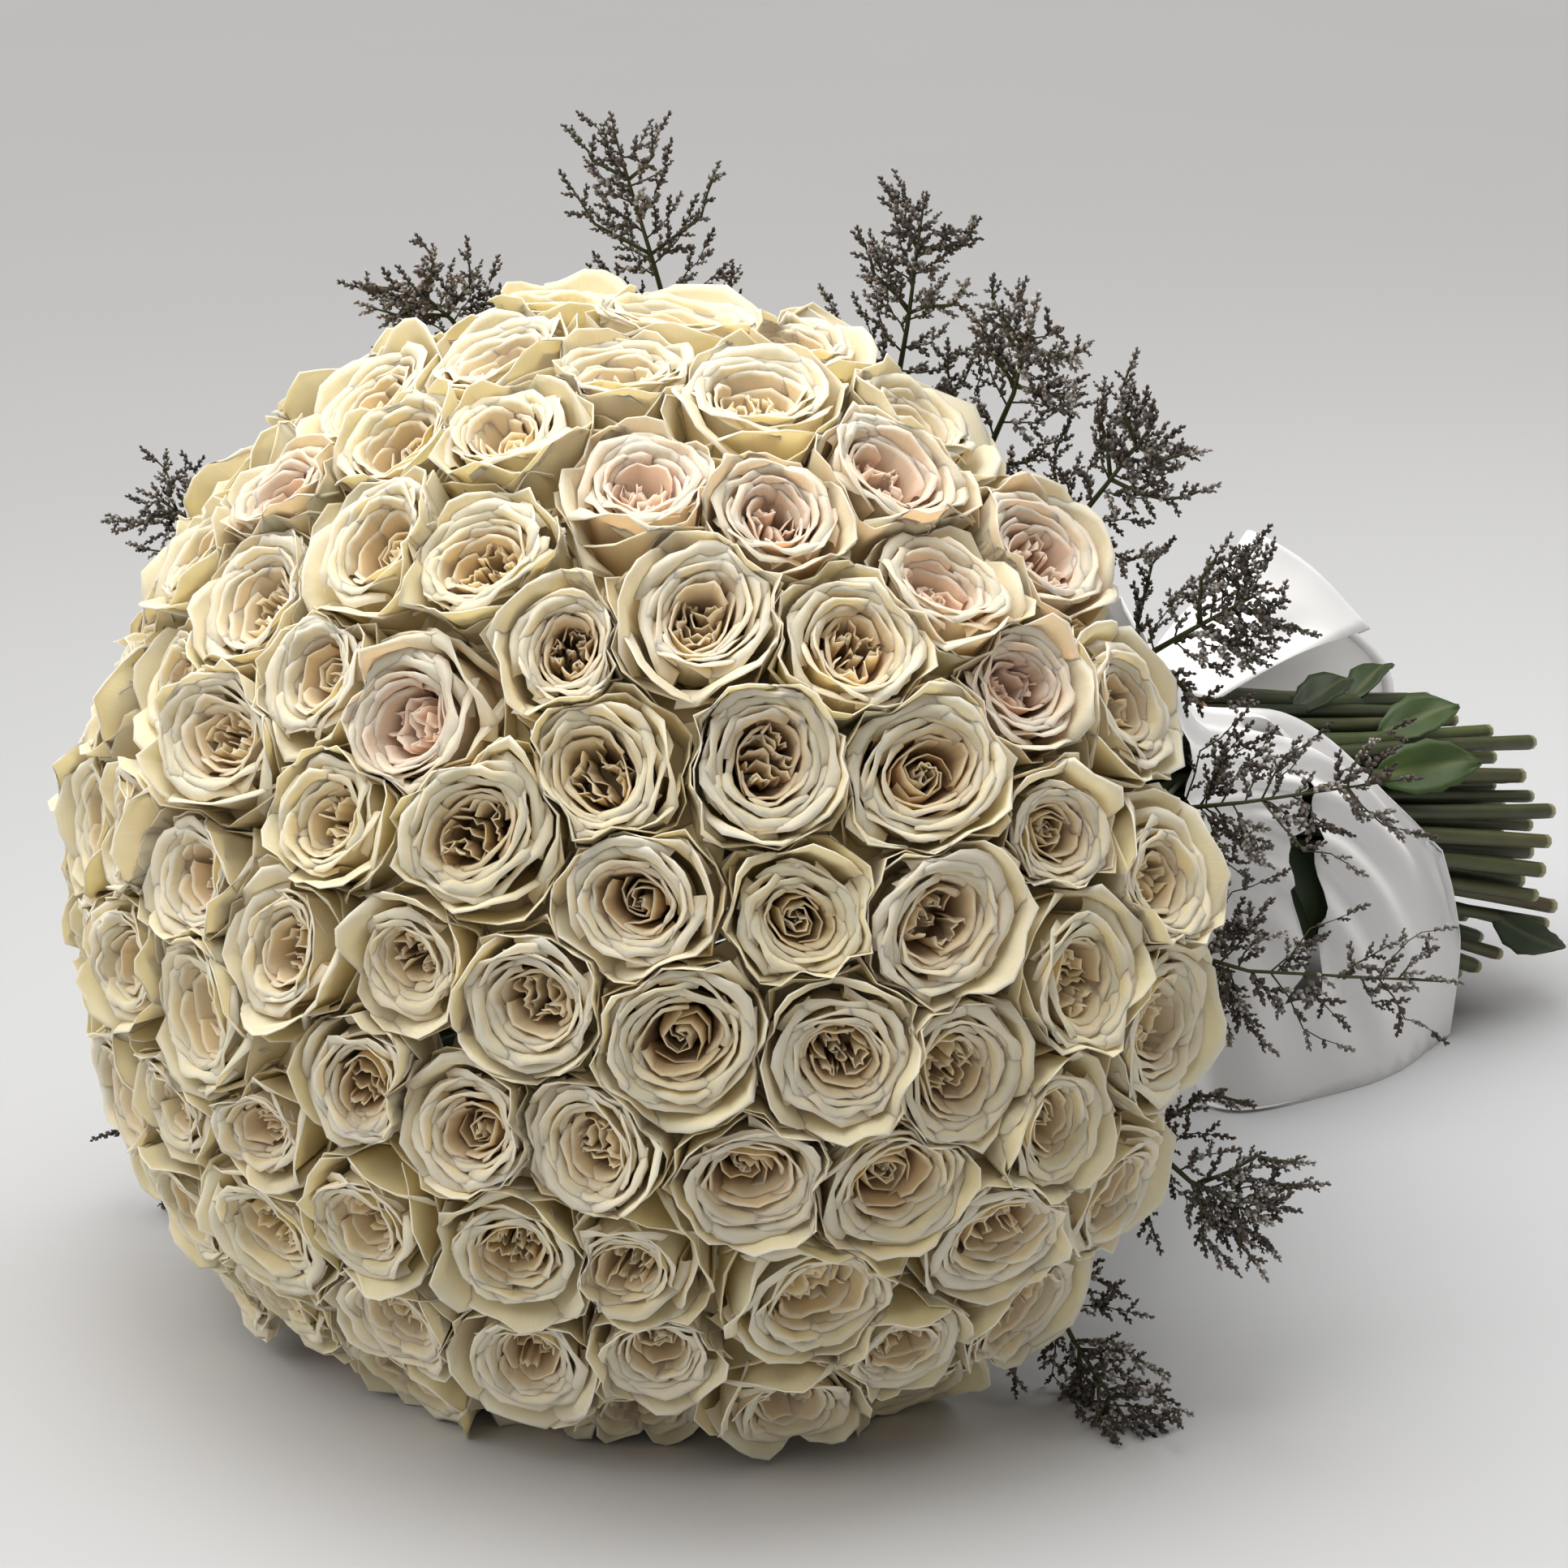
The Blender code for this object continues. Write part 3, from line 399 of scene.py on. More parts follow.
def turning(angle):
    return np.array([[math.cos(angle), math.sin(angle)], [-math.sin(angle), math.cos(angle)]])


def arc(size, angle):
    return np.stack([size * np.cos(angle), size * np.sin(angle)], axis=1)


def petalGrid(layer, turn, blank, look):
    u = np.linspace(-1, 1, blank["columns"])[None, :]
    t, lip = (np.array(shares)[:, None] for shares in climbs[layer["blank"]])
    weights = ((1 - t)**3, 3 * t * (1 - t)**2, 3 * t**2 * (1 - t), t**3)
    wave = lambda k, rate, size: size * ripple(u, rate, math.tau * look[k])
    inOut = sum(wave(*row) for row in petalForm["inOut"])
    upDown = sum(wave(*row) for row in petalForm["upDown"])
    level, reach = layer["level"] * (2 * look[6] - 1), layer["reach"] * (2 * look[7] - 1)
    out = sum(w * p[0] for w, p in zip(weights, layer["curve"])) + t**2 * (reach + layer["ruffle"] * inOut)
    up = sum(w * p[1] for w, p in zip(weights, layer["curve"])) + t**3 * (
        level + petalForm["lift"] * layer["ruffle"] * upDown - layer["corner"] * np.abs(u)**3
        + layer["tip"] * (1 - np.abs(u))**petalForm["bend"])
    curl = layer["rollTurn"] * (petalForm["leastCurl"] + petalForm["curlRange"] * look[8])
    curl = curl * (1 - layer["reflex"] / 2 + layer["reflex"] * np.abs(u)**petalForm["bend"])
    over = lip * curl * (1 + wave(*petalForm["curlWave"]))
    out = out + layer["roll"] * (1 - np.cos(over)) + petalForm["skew"] * u * t
    up = up + petalForm["rollHeight"] * layer["roll"] * np.sin(over)
    narrow = petalForm["baseWidth"]
    spread = narrow + (1 - narrow) * np.sin(np.minimum(1, t * petalForm["widens"]) * math.pi / 2)
    angle = turn + math.tau * layer["width"] * u * spread
    return np.stack([out * np.cos(angle), out * np.sin(angle), up], axis=2)


def foldGrid(blank, path, top, base, lean, look):
    # a folded heart petal stands along its path, leans a little and rolls over at its edge
    u = np.linspace(-1, 1, blank["columns"])
    v = np.array(foldForm["rows"])[:, None]
    ahead = np.gradient(path, axis=0)
    aside = np.stack([-ahead[:, 1], ahead[:, 0]], axis=1) / (np.linalg.norm(ahead, axis=1)[:, None] + 1e-9)
    slow, fast = foldForm["waves"]
    wave = slow * ripple(u, 2.1, math.tau * look[0]) + fast * ripple(u, 4.2, anyStart * look[1])
    push = (lean * v**2 + foldForm["lip"] * v**8 + wave * v**3)[..., None]
    flat = path[None] + aside[None] * push
    slow, fast = foldForm["tops"]
    tops = top + slow * ripple(u, 1.6, anyStart * look[2]) + fast * ripple(u, 5, anyStart * look[3])
    up = base + (tops - base) * v
    return np.concatenate([flat, up[..., None]], axis=2)


def heartPaths(kind, draw):
    # where the folded petals run inside the cup, in parts of the rose's spacing
    t = np.linspace(-1, 1, blanks["fold"]["columns"])
    radius, paths = bloom["heartRadius"], []
    if kind == "folds":
        phase, rate = draw.uniform(0, anyStart), draw.uniform(*folded["rates"])
        for k in range(folded["petals"]):
            aside = (k - (folded["petals"] - 1) / 2) / folded["apart"] * radius
            half = math.sqrt(radius**2 - aside**2)
            y = aside * (1 - folded["bow"] * t**4) + folded["wave"] * np.sin(rate * t + phase + 0.5 * k)
            y = y + draw.normal(0, folded["uneven"])
            paths.append(np.stack([t * half * draw.uniform(folded["shortest"], 1), y], axis=1))
    elif kind == "quarters":
        start, loose = draw.uniform(0, anyStart), quartered["turn"]
        for q in range(3):
            angle = start + third * q + draw.uniform(-loose, loose)
            for reach, middle in quartered["loops"]:
                span = draw.uniform(*quartered["span"])
                around = angle + span * t + draw.uniform(-loose, loose)
                size = reach * draw.uniform(0.9, 1.1)
                size = size * (1 + quartered["wave"] * np.sin(3 * t + draw.uniform(0, anyStart)))
                paths.append(arc(size, around) + (middle * math.cos(angle), middle * math.sin(angle)))
        eye, turns = quartered["eye"]
        paths.append(arc(eye, turns * t + start))
    else:
        start, wound = draw.uniform(0, anyStart), draw.uniform(*woundUp["turns"])
        share = (t + 1) / 2
        for arm in range(3):
            size = radius * (1 - woundUp["narrows"] * share**0.9)
            size = size * (1 + woundUp["wave"] * np.sin(5 * share + draw.uniform(0, anyStart)))
            paths.append(arc(size, start + third * arm + math.tau * wound * share))
        eye, turns = woundUp["eye"]
        paths.append(arc(eye, turns * t + start))
    turned = turning(draw.uniform(0, anyStart))
    return [path @ turned for path in paths]


bigness = np.random.default_rng(bloom["bigSeed"]).uniform(-1, 1, bouquet["roses"])


def cellWalls(i):
    # the swaying wall that a rose shares with each neighbour, the same seen from either side
    walls = []
    for j in np.argsort(distance[i])[1:bloom["walls"] + 1]:
        low, high = (i, j) if i < j else (j, i)
        lean = unit(normals[low] + normals[high])
        away = faces[high] - faces[low]
        away = unit(away - (away @ lean) * lean)
        bias = bloom["bias"] * (bigness[low] - bigness[high])
        phase = low * 7.3 + high * 3.1
        walls.append(((faces[i] + faces[j]) / 2, away, np.cross(away, lean), 1 if i < j else -1, bias, phase))
    return walls


def keepInCell(points, i, walls, clear=rose["petalThick"], give=bloom["give"]):
    # petals that would reach into a neighbour press up against it instead
    along = (points - faces[i]) @ normals[i]
    middle = faces[i] + along[:, None] * normals[i]
    way = points - middle
    reach = np.linalg.norm(way, axis=1) + 1e-9
    way /= reach[:, None]
    limit = np.full(len(points), 1.0)
    for point, away, lead, sign, bias, phase in walls:
        sway = bias + bloom["sway"] * np.sin(math.tau * (points - point) @ lead / bloom["swayEvery"] + phase)
        room = np.maximum(((point - middle) @ away + sway) * sign - clear, bloom["leastRoom"])
        rate = way @ away * sign
        limit = np.where(rate > 1e-4, np.minimum(limit, room / np.maximum(rate, 1e-4)), limit)
    soft = (1 - give) * limit
    pressed = soft + (limit - soft) * (1 - np.exp(-(reach - soft) / (limit - soft)))
    return middle + way * np.where(reach > soft, pressed, reach)[:, None]


def ringFaces(count, sides):
    # triangles over rings of points that lie one after another, with a point for each end after the last ring
    s = np.arange(sides)
    following, last = (s + 1) % sides, (count - 1) * sides
    quads = np.stack([s, following, following + sides, s + sides], axis=1)
    quads = np.concatenate([quads + k * sides for k in range(count - 1)])
    low, high = np.full(sides, count * sides), np.full(sides, count * sides + 1)
    return np.concatenate([quads[:, [0, 1, 2]], quads[:, [0, 2, 3]], np.stack([following, s, low], axis=1),
                           np.stack([last + s, last + following, high], axis=1)])


def lathe(form, angles):
    # a closed turned form from its rings, in rose units
    points = [np.column_stack([arc(out, angles), 0 * angles + up]) for out, up in form["rings"]]
    ends = [(0, 0, form["rings"][0][1]), (0, 0, form["top"])]
    return np.concatenate(points + [ends]), ringFaces(len(points), len(angles))


# How far each rose's own mood moves its colour, and how much blush its outer and inner petals hold
moods = {"peach": 0.45, "pale": 0.35, "yellow": (0.0, 0.01, 0.13), "blushOuter": 0.20, "blushInner": 0.48,
         "shade": 0.96, "uneven": 0.03, "palest": 0.95}


def petalShade(names, v, k, mood, isBlush):
    # from base to rim, darker at the base (partly the rose's own warmer colour, partly painted shade deep in the
    # bloom), warmer or paler with the rose; blush shows most in the inner petals
    base, mid, rim = (petalTones[name] for name in names)
    tones = np.where(v < 0.6, base + (mid - base) * v / 0.6, mid + (rim - mid) * ((v - 0.6) / 0.4)**1.4)
    if k == sepals:
        return tones
    inner = min(1, k / 5)
    tones = mixed(tones, petalTones["peach"], moods["peach"] * mood["peach"] * inner * (1 - 0.6 * v))
    tones = mixed(tones, petalTones["light"], moods["pale"] * mood["pale"])
    tones = tones * (1 - np.array(moods["yellow"]) * mood["yellow"] * (1 - 0.5 * v))
    if isBlush:
        tint = mixed(petalTones["blushDeep"], petalTones["blush"], v**0.7)
        tones = mixed(tones, tint, moods["blushOuter"] + moods["blushInner"] * inner)
    return tones


def makeRose(i, draw):
    size = float(np.clip(spacing[i], bloom["closest"] * rose["spacing"], bloom["farthest"] * rose["spacing"]))
    size = size * (1 + bloom["bigger"] * bigness[i])
    side = unit(np.cross(normals[i], (0.3, 0.2, 1.0)))
    frameOf = np.stack([side, np.cross(normals[i], side), normals[i]], axis=1)
    isBlush = i in blush
    mood = {name: draw.uniform(0, 1) for name in ("peach", "pale", "yellow")}
    kind = draw.choice(bloom["kinds"])
    openness = draw.uniform(bloom["tightest"], bloom["openest"])
    axis, oval = draw.uniform(0, math.pi), draw.uniform(-1, 1) * bloom["oval"]
    lean = draw.normal(0, bloom["tilt"], 2)
    off = draw.normal(0, bloom["heartShift"] / 1.5, 2)
    spin = turning(axis)
    sheets, turn = [], roseTurns[i]
    for k, layer in enumerate(layers):
        blank = blanks[layer["blank"]]
        turn += math.pi / layer["petals"] + draw.uniform(-bloom["layerTurn"], bloom["layerTurn"])
        inner = max(0, k - 1) / 5 if k < sepals else 0
        stretch = 1 + (oval + bloom["heartOval"] * np.sign(oval) * inner**2) * (k > 0)
        for p in range(layer["petals"]):
            own = turn + math.tau * p / layer["petals"] + draw.uniform(-bloom["petalTurn"], bloom["petalTurn"])
            grid = petalGrid(layer, own, blank, draw.uniform(0, 1, 10))
            if k < 2:
                # the guard petals close in on a tight bloom, but still reach out at their rims
                grid[:2, :, :2] *= min(1, openness)
                grid[2, :, :2] *= min(1, (1 + openness) / 2)
            if 0 < k < sepals:
                opened = grid[..., :2] * (openness if k > 1 else 1)
                grid[..., :2] = opened @ spin.T * (stretch, 2 - stretch) @ spin + off * inner
            sheets.append((blank, grid, layer["tones"], k, draw.uniform(-1, 1)))
    for path in heartPaths(kind, draw):
        path = path @ spin.T * (stretch, 2 - stretch) @ spin * openness + off
        # the middle of the heart lies deepest
        top = bloom["heartTop"] + draw.uniform(-0.09, 0.04) - 0.10 * (1 - np.linalg.norm(path.mean(axis=0)) / 0.2)
        lie = draw.uniform(-0.02, 0.03)
        grid = foldGrid(blanks["fold"], path, top, bloom["heartBase"], lie, draw.uniform(0, 1, 4))
        # the folds' darker bases are partly painted shade for the hollow of the heart
        sheets.append((blanks["fold"], grid, bloom["heartTones"], innermost, draw.uniform(-1, 1)))

    scale = np.array([size, size, rose["depth"]])
    counts = [grid.shape[0] * grid.shape[1] for _, grid, *_ in sheets]
    world = np.concatenate([(grid * scale).reshape(-1, 3) for _, grid, *_ in sheets])
    world[:, :2] += lean * (world[:, 2:] + rose["depth"])
    walls = cellWalls(i)
    world = keepInCell(world @ frameOf.T + faces[i], i, walls)
    world[:, 2] = np.maximum(world[:, 2], rose["clearOfFloor"])
    parts, start = [], 0
    for (blank, grid, names, k, shade), count in zip(sheets, counts):
        points = thicken(blank, world[start:start + count].reshape(grid.shape), rose["petalThick"])
        start += count
        # up the map by how far each row has climbed, or evenly at the heart
        height = np.linspace(0, 1, blank["rows"]) if k == innermost else np.sum(climbs[blank["name"]], axis=0) / 2
        rows = blank["index"] // blank["columns"]
        flat = np.stack([(blank["index"] % blank["columns"]) / (blank["columns"] - 1), height[rows]], axis=1)
        tones = petalShade(names, flat[:, 1:], k, mood, isBlush) * (moods["shade"] + moods["uneven"] * shade)
        parts.append((points, blank["quads"], np.clip(tones, 0, moods["palest"]), flat))

    def seated(points):
        return keepInCell((points * scale) @ frameOf.T + faces[i], i, walls, bowl["clear"], bowl["give"])

    # the bowl has a point at each corner of the rose's cell, so no light comes through there
    fine, every = np.arange(bowl["fine"]) * math.pi / (bowl["fine"] / 2), bowl["fine"] // bowl["sides"]
    out, up = bowl["rings"][-1]
    reach = np.linalg.norm(seated(np.column_stack([arc(out, fine), 0 * fine + up])) - faces[i], axis=1)
    corners = np.flatnonzero((reach > np.roll(reach, 1)) & (reach >= np.roll(reach, -1)))
    chosen = np.arange(0, bowl["fine"], every)
    chosen[np.rint(corners / every).astype(int) % bowl["sides"]] = corners
    plain = np.arange(0, bowl["fine"], bowl["fine"] // calyx["sides"])
    for form, tone, which in ((bowl, "guard", chosen), (calyx, "calyx", plain)):
        points, triangles = lathe(form, fine[which])
        points = seated(points)
        points[:, 2] = np.maximum(points[:, 2], rose["clearOfFloor"])
        parts.append((points, triangles, np.tile(petalTones[tone], (len(points), 1)), np.zeros((len(points), 2))))
    return parts


draw = np.random.default_rng(bloom["seed"])
counts = {"cream": 0, "blush": 0}
for bunch in bunches:
    colour = "blush" if bunch[0] in blush else "cream"
    counts[colour] += 1
    number = f"{counts[colour]:02d}"
    parts = [part for i in bunch for part in makeRose(i, draw)]
    buildPiece(f"{colour}_roses_{number}", parts, petalSkin[colour], f"roses_{colour}_{number}",
               "petalTone", "petalMap")
print("roses made:", sum(counts.values()), "pieces")


# Stems: bound together, spread to the roses and to their cut ends. The swell is the thickness at each of a stem's
# twelve points, from the cut end to the rose
stems = {"tie": (0.0, 0.300, 0.160), "half": 0.036, "slope": -0.22, "bundle": 0.048, "within": 0.0435, "rounds": 600,
         "reach": 0.22, "push": 0.05, "radius": 0.0040, "neck": 0.013, "end": (0.0, 0.540, 0.077), "endRadius": 0.070,
         "endUneven": 0.022, "twist": 24.0, "lowest": 0.0045, "bow": 0.0018, "thickness": (0.80, 1.04),
         "uneven": (0.90, 1.07), "swell": (0.93, 1.0, 1.0, 1.06, 0.98, 1.0, 0.96, 0.92, 0.85, 0.82, 0.85, 1.5),
         "shade": (0.5, 1.15), "sides": 8}
stemTones = linearTones({"green": "#46552A", "dark": "#2B381B", "brown": "#5F5032", "cut": "#B8B186",
                         "leaf": "#374A20", "leafDark": "#28351A"})
bundleAlong = unit((0.0, 1.0, stems["slope"]))
bundleAcross = np.array([1.0, 0.0, 0.0])
bundleUp = np.cross(bundleAcross, bundleAlong)


def atTie(along, across, up):
    return np.array(stems["tie"]) + bundleAcross * across + bundleUp * up + bundleAlong * along


def stemPlaces():
    edge = math.radians(bouquet["edge"])
    out = np.sqrt((1 - directions[:, 2]) / (1 - math.cos(edge)))
    flat = unitRows(directions[:, :2])
    places = np.column_stack([-flat[:, 0] * out, flat[:, 1] * out])
    for _ in range(stems["rounds"]):
        places = places + stems["push"] * pushApart(places, stems["reach"], 1)
        places /= np.maximum(1.0, np.linalg.norm(places, axis=1))[:, None]
    return places * stems["within"]


def tube(path, radii, sides, tones):
    # a round bar along a path, closed at both ends
    path = np.array(path, float)
    ways = unitRows(np.gradient(path, axis=0))
    side = unit(np.cross(ways[0], (0.13, 0.31, 0.94)))
    angles = np.arange(sides) * math.tau / sides
    rings = []
    for point, radius, way in zip(path, radii, ways):
        side = unit(side - (side @ way) * way)
        other = np.cross(way, side)
        rings.append(point + radius * (np.cos(angles)[:, None] * side + np.sin(angles)[:, None] * other))
    points = np.concatenate(rings + [path[:1], path[-1:]])
    tones = np.broadcast_to(tones, (len(path), 3))
    tones = np.concatenate([np.repeat(tones, sides, axis=0), tones[:1], tones[-1:]])
    return points, ringFaces(len(path), sides), tones


def makeStem(place, face, normal, end, start):
    front = atTie(-stems["half"], *place)
    top = face - normal * (rose["depth"] + rose["gap"] + 0.0001)
    neck = top - normal * stems["neck"]
    bow = draw.normal(0, stems["bow"], 3)
    path = [end, end + (start - end) * 0.02]
    path += [end + (start - end) * s + bow * math.sin(math.pi * s) for s in (0.2, 0.4, 0.6, 0.8)]
    path += [start, front, (front * 2 + neck) / 3, (front + neck * 2) / 3, neck, top]
    for point in path:
        point[2] = max(point[2], stems["radius"] + rose["clearOfFloor"])
    thick = draw.uniform(*stems["thickness"])
    radii = stems["radius"] * thick * draw.uniform(*stems["uneven"], len(path)) * np.array(stems["swell"])
    # greener or browner from stem to stem, darker towards the rose, and pale where it is cut
    low = mixed(stemTones["green"], stemTones["brown"], draw.uniform(0, 1))
    high = mixed(stemTones["green"], stemTones["dark"], 0.4)
    shades = np.array([mixed(low, high, min(1, k / 6)) for k in range(len(path))]) * draw.uniform(*stems["shade"])
    shades[0] = stemTones["cut"]
    return tube(path, radii, stems["sides"], shades)


places = stemPlaces()
twist = math.radians(stems["twist"])
stemEnds = []
for i, place in enumerate(places):
    across, up = place / stems["within"] * stems["endRadius"]
    end = np.array(stems["end"]) + (across * math.cos(twist) - up * math.sin(twist), 0.0,
                                    across * math.sin(twist) + up * math.cos(twist))
    end[1] += -stems["endUneven"] + 2 * stems["endUneven"] * stemDraws[i]
    end[2] = max(end[2], stems["lowest"])
    stemEnds.append(end)
stemStarts = [atTie(stems["half"], *place) for place in places]
parts = [makeStem(*each) for each in zip(places, faces, normals, stemEnds, stemStarts)]

# Leaves left on, each on the stem that lies outermost on its side. Each row is the angle round the bundle, how far
# down the stem, the length and the kind: 0 stands off the stem, 1 likewise but darker, 2 hangs towards the floor
leafRows = ((32, 0.42, 0.060, 0), (56, 0.52, 0.052, 0), (322, 0.84, 0.048, 1), (120, 0.86, 0.048, 1),
            (75, 0.30, 0.045, 1), (98, 0.62, 0.046, 1), (345, 0.10, 0.060, 2), (352, 0.22, 0.055, 2),
            (338, 0.06, 0.068, 2))
leaf = {"thick": 0.0008, "width": 0.21, "teeth": 0.10, "fold": 0.28, "sweep": 0.10, "ripple": 0.0008, "lowest": 0.0012,
        "standsOff": (0.40, 0.40, 0.05), "hangs": (0.02, 0.0, -0.9), "archAt": (0, 0.25, 0.55, 0.8, 1),
        "arch": (0, 0.002, 0.004, 0.003, 0), "veinWidth": 0.08, "vein": 0.12}


def makeLeaf(angle, share, length, kind):
    blank = blanks["leaf"]
    turn = math.radians(angle)
    away = np.array([math.cos(turn), 0.0, math.sin(turn)])
    at = [s + (e - s) * share for s, e in zip(stemStarts, stemEnds)]
    outermost = max(range(len(at)), key=lambda k: at[k] @ away)
    along = unit(unit(stemEnds[outermost] - stemStarts[outermost]) + leaf["standsOff"][kind] * away)
    if kind == 2:
        along = unit(along * 0.35 + np.array(leaf["hangs"]))
    across = unit(np.cross(along, away))
    top = np.cross(across, along)
    root = at[outermost] - along * stems["radius"] / 2
    u = np.linspace(-1, 1, blank["columns"])[None, :, None]
    v = np.linspace(0, 1, blank["rows"])[:, None, None]
    tooth = 1 + leaf["teeth"] * (np.arange(blank["rows"]) % 2)[:, None, None] * np.abs(u)**3
    half = length * leaf["width"] * np.sin(math.pi * np.clip(v, 0.02, 0.985)**0.85)**0.8 * tooth
    arch = np.interp(v, leaf["archAt"], leaf["arch"])
    grid = root + along * (length * v - leaf["sweep"] * half * np.abs(u)) + across * half * u
    grid = grid + top * (arch + leaf["fold"] * half * np.abs(u) + leaf["ripple"] * np.sin(9 * v + 4 * u))
    grid[..., 2] = np.maximum(grid[..., 2], leaf["lowest"])
    points = thicken(blank, grid, leaf["thick"])
    vein = np.exp(-(u[..., 0] / leaf["veinWidth"])**2) + 0 * v[..., 0]
    tone = stemTones["leaf"] if kind == 0 else stemTones["leafDark"] * (1.2 if kind == 1 else 1.0)
    tones = mixed(tone, stemTones["cut"], leaf["vein"] * vein[..., None]).reshape(-1, 3)[blank["index"]]
    return points, blank["quads"], tones


parts += [makeLeaf(*row) for row in leafRows]
buildPiece("bound_rose_stems", parts, stemSkin, "rose_stems", "stemTone")
print("stems made:", len(places))

# Twine: turns wound side by side round the bundle, where the frame has one band
twine = {"low": -0.012, "high": 0.002, "thick": 0.0026, "turns": 5, "margin": 0.55}
loops = []
for k in range(twine["turns"]):
    step = (twine["high"] - twine["low"] - twine["thick"] * 2 * twine["margin"]) / (twine["turns"] - 1)
    along = twine["low"] + twine["thick"] * twine["margin"] + k * step
    bpy.ops.mesh.primitive_torus_add(major_segments=64, minor_segments=8,
                                     major_radius=stems["bundle"] + rose["gap"] + twine["thick"] / 2,
                                     minor_radius=twine["thick"] / 2, location=(0, 0, 0))
    loop = bpy.context.object
    turned = Matrix((bundleAcross, bundleUp, -bundleAlong)).transposed().to_4x4()
    loop.data.transform(Matrix.Translation(atTie(along, 0, 0) + shift) @ turned)
    loops.append(loop)
bpy.ops.object.select_all(action="DESELECT")
for loop in loops:
    loop.select_set(True)
bpy.context.view_layer.objects.active = loops[0]
bpy.ops.object.join()
bpy.ops.object.shade_smooth()
winding = bpy.context.object
winding.name = "wound_twine"
winding.data.materials.append(jute)
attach(winding, "root")
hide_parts("binding_twine")
bpy.ops.object.select_all(action="DESELECT")
print("twine wound:", twine["turns"], "turns")


# Sea lavender: forked wiry stems whose twigs are crowded with small knobbly florets, pale at the tip.
# Each row is the spray's place round the dome, how far out and forward it ends, and how full it is
sprayRows = ((-141, 0.292, 0.000, 1.15), (-160, 0.282, -0.020, 1.3), (180, 0.318, -0.060, 0.42),
             (165, 0.312, -0.025, 0.5), (149, 0.288, 0.000, 1.2), (134, 0.288, 0.010, 1.2), (122, 0.284, 0.020, 1.2),
             (110, 0.300, 0.020, 1.0), (84, 0.304, 0.020, 0.9), (62, 0.268, 0.010, 0.9), (28, 0.288, -0.010, 0.8),
             (-34, 0.285, -0.020, 0.8), (-80, 0.225, -0.040, 0.8))
spray = {"behind": (0.205, -0.046), "over": (0.252, -0.016), "stem": 0.0017, "twig": 0.0011, "twigLength": 0.050,
         "pairs": 3, "lowest": 0.004, "bundleSides": 16, "buds": 7, "budEvery": 0.0039, "budTwig": 0.0102,
         "sideTwigs": 15, "sideLength": (0.014, 0.034), "twigFine": 0.0005, "bend": 0.0011, "twigLowest": 0.002,
         "thinUnder": 0.7, "stemSides": 5, "twigSides": 3, "rootBack": 0.46, "leaveBack": 1.3, "leaveOut": 1.13,
         "twigThins": 0.45, "budUneven": 0.3, "budSizes": (0.65, 1.25), "budShrinks": (1.15, 0.45)}
# A floret, in parts of its twig's length: a small cone, its foot drawn out, set off the stalk and tipped outwards
floret = {"radius": 0.125, "depth": 0.17, "foot": 0.24, "aside": 0.13, "tip": 0.75, "turn": 2.4, "stalk": 0.036}
sprayTones = linearTones({"stem": "#45482F", "dark": "#2E2B27", "brown": "#4F453C", "mauve": "#7B7370",
                          "pale": "#D6D0CB"})


def makeBudTwig():
    # a thin stalk one unit long with florets all round it, made once and copied everywhere
    bpy.ops.mesh.primitive_cone_add(vertices=4, radius1=floret["radius"], radius2=0, depth=floret["depth"],
                                    end_fill_type="TRIFAN")
    bud = bpy.context.object
    flat = np.array([tuple(v.co) for v in bud.data.vertices])
    faces = np.array([tuple(p.vertices) for p in bud.data.polygons])
    bpy.data.objects.remove(bud)
    foot = np.where((np.abs(flat[:, :2]).max(axis=1) < 1e-6) & (flat[:, 2] < 0))[0]
    flat[foot, 2] -= floret["foot"]
    stalk = tube([(0, 0, 0), (0.06, 0.02, 0.5), (0, 0, 1)], (floret["stalk"], 0.028, 0.018), 3, (0, 0, 0))
    points, triangles, shares = [stalk[0]], [stalk[1]], [np.zeros(len(stalk[0]))]
    total = len(stalk[0])
    for k in range(spray["buds"]):
        share, turn = (k + 1.0) / spray["buds"], floret["turn"] * k
        aside = floret["aside"] * (k < spray["buds"] - 1)
        turned = Matrix.Rotation(turn, 3, "Z") @ Matrix.Rotation(floret["tip"] * (aside > 0), 3, "Y")
        size = (1.1 - 0.35 * share) * (1 + 0.15 * math.sin(5 * k))
        spot = (0.06 * math.sin(3.1 * share) + aside * math.cos(turn), aside * math.sin(turn), share)
        triangles.append(faces + total)
        points.append(flat @ np.array(turned.transposed()) * size + spot)
        # the colour turns from the foot to the point
        shares.append(np.clip((flat[:, 2] + 0.32) / 0.40, 0, 1))
        total += len(flat)
    return np.concatenate(points), np.concatenate(triangles), np.concatenate(shares)


budPoints, budFaces, budShares = makeBudTwig()


def putBudTwig(at, way, length, parts):
    side = unit(np.cross(way, draw.normal(0, 1, 3)))
    points = at + (budPoints * length) @ np.stack([side, np.cross(way, side), way], axis=0)
    points[:, 2] = np.maximum(points[:, 2], rose["clearOfFloor"])
    base = mixed(sprayTones["dark"], sprayTones["brown"], draw.uniform(0, 1))
    tip = sprayTones["mauve"] if draw.uniform() < 0.5 else sprayTones["pale"]
    tip = mixed(base, tip, draw.uniform(0.3, 1.0))
    parts.append((points, budFaces, mixed(base, tip, budShares[:, None]**2.5)))


def bent(path):
    # a twig is never straight: a point is put between each two, a little to one side
    path = np.array(path, float)
    middles = (path[1:] + path[:-1]) / 2 + draw.normal(0, spray["bend"], (len(path) - 1, 3))
    return np.insert(path, np.arange(1, len(path)), middles, axis=0)


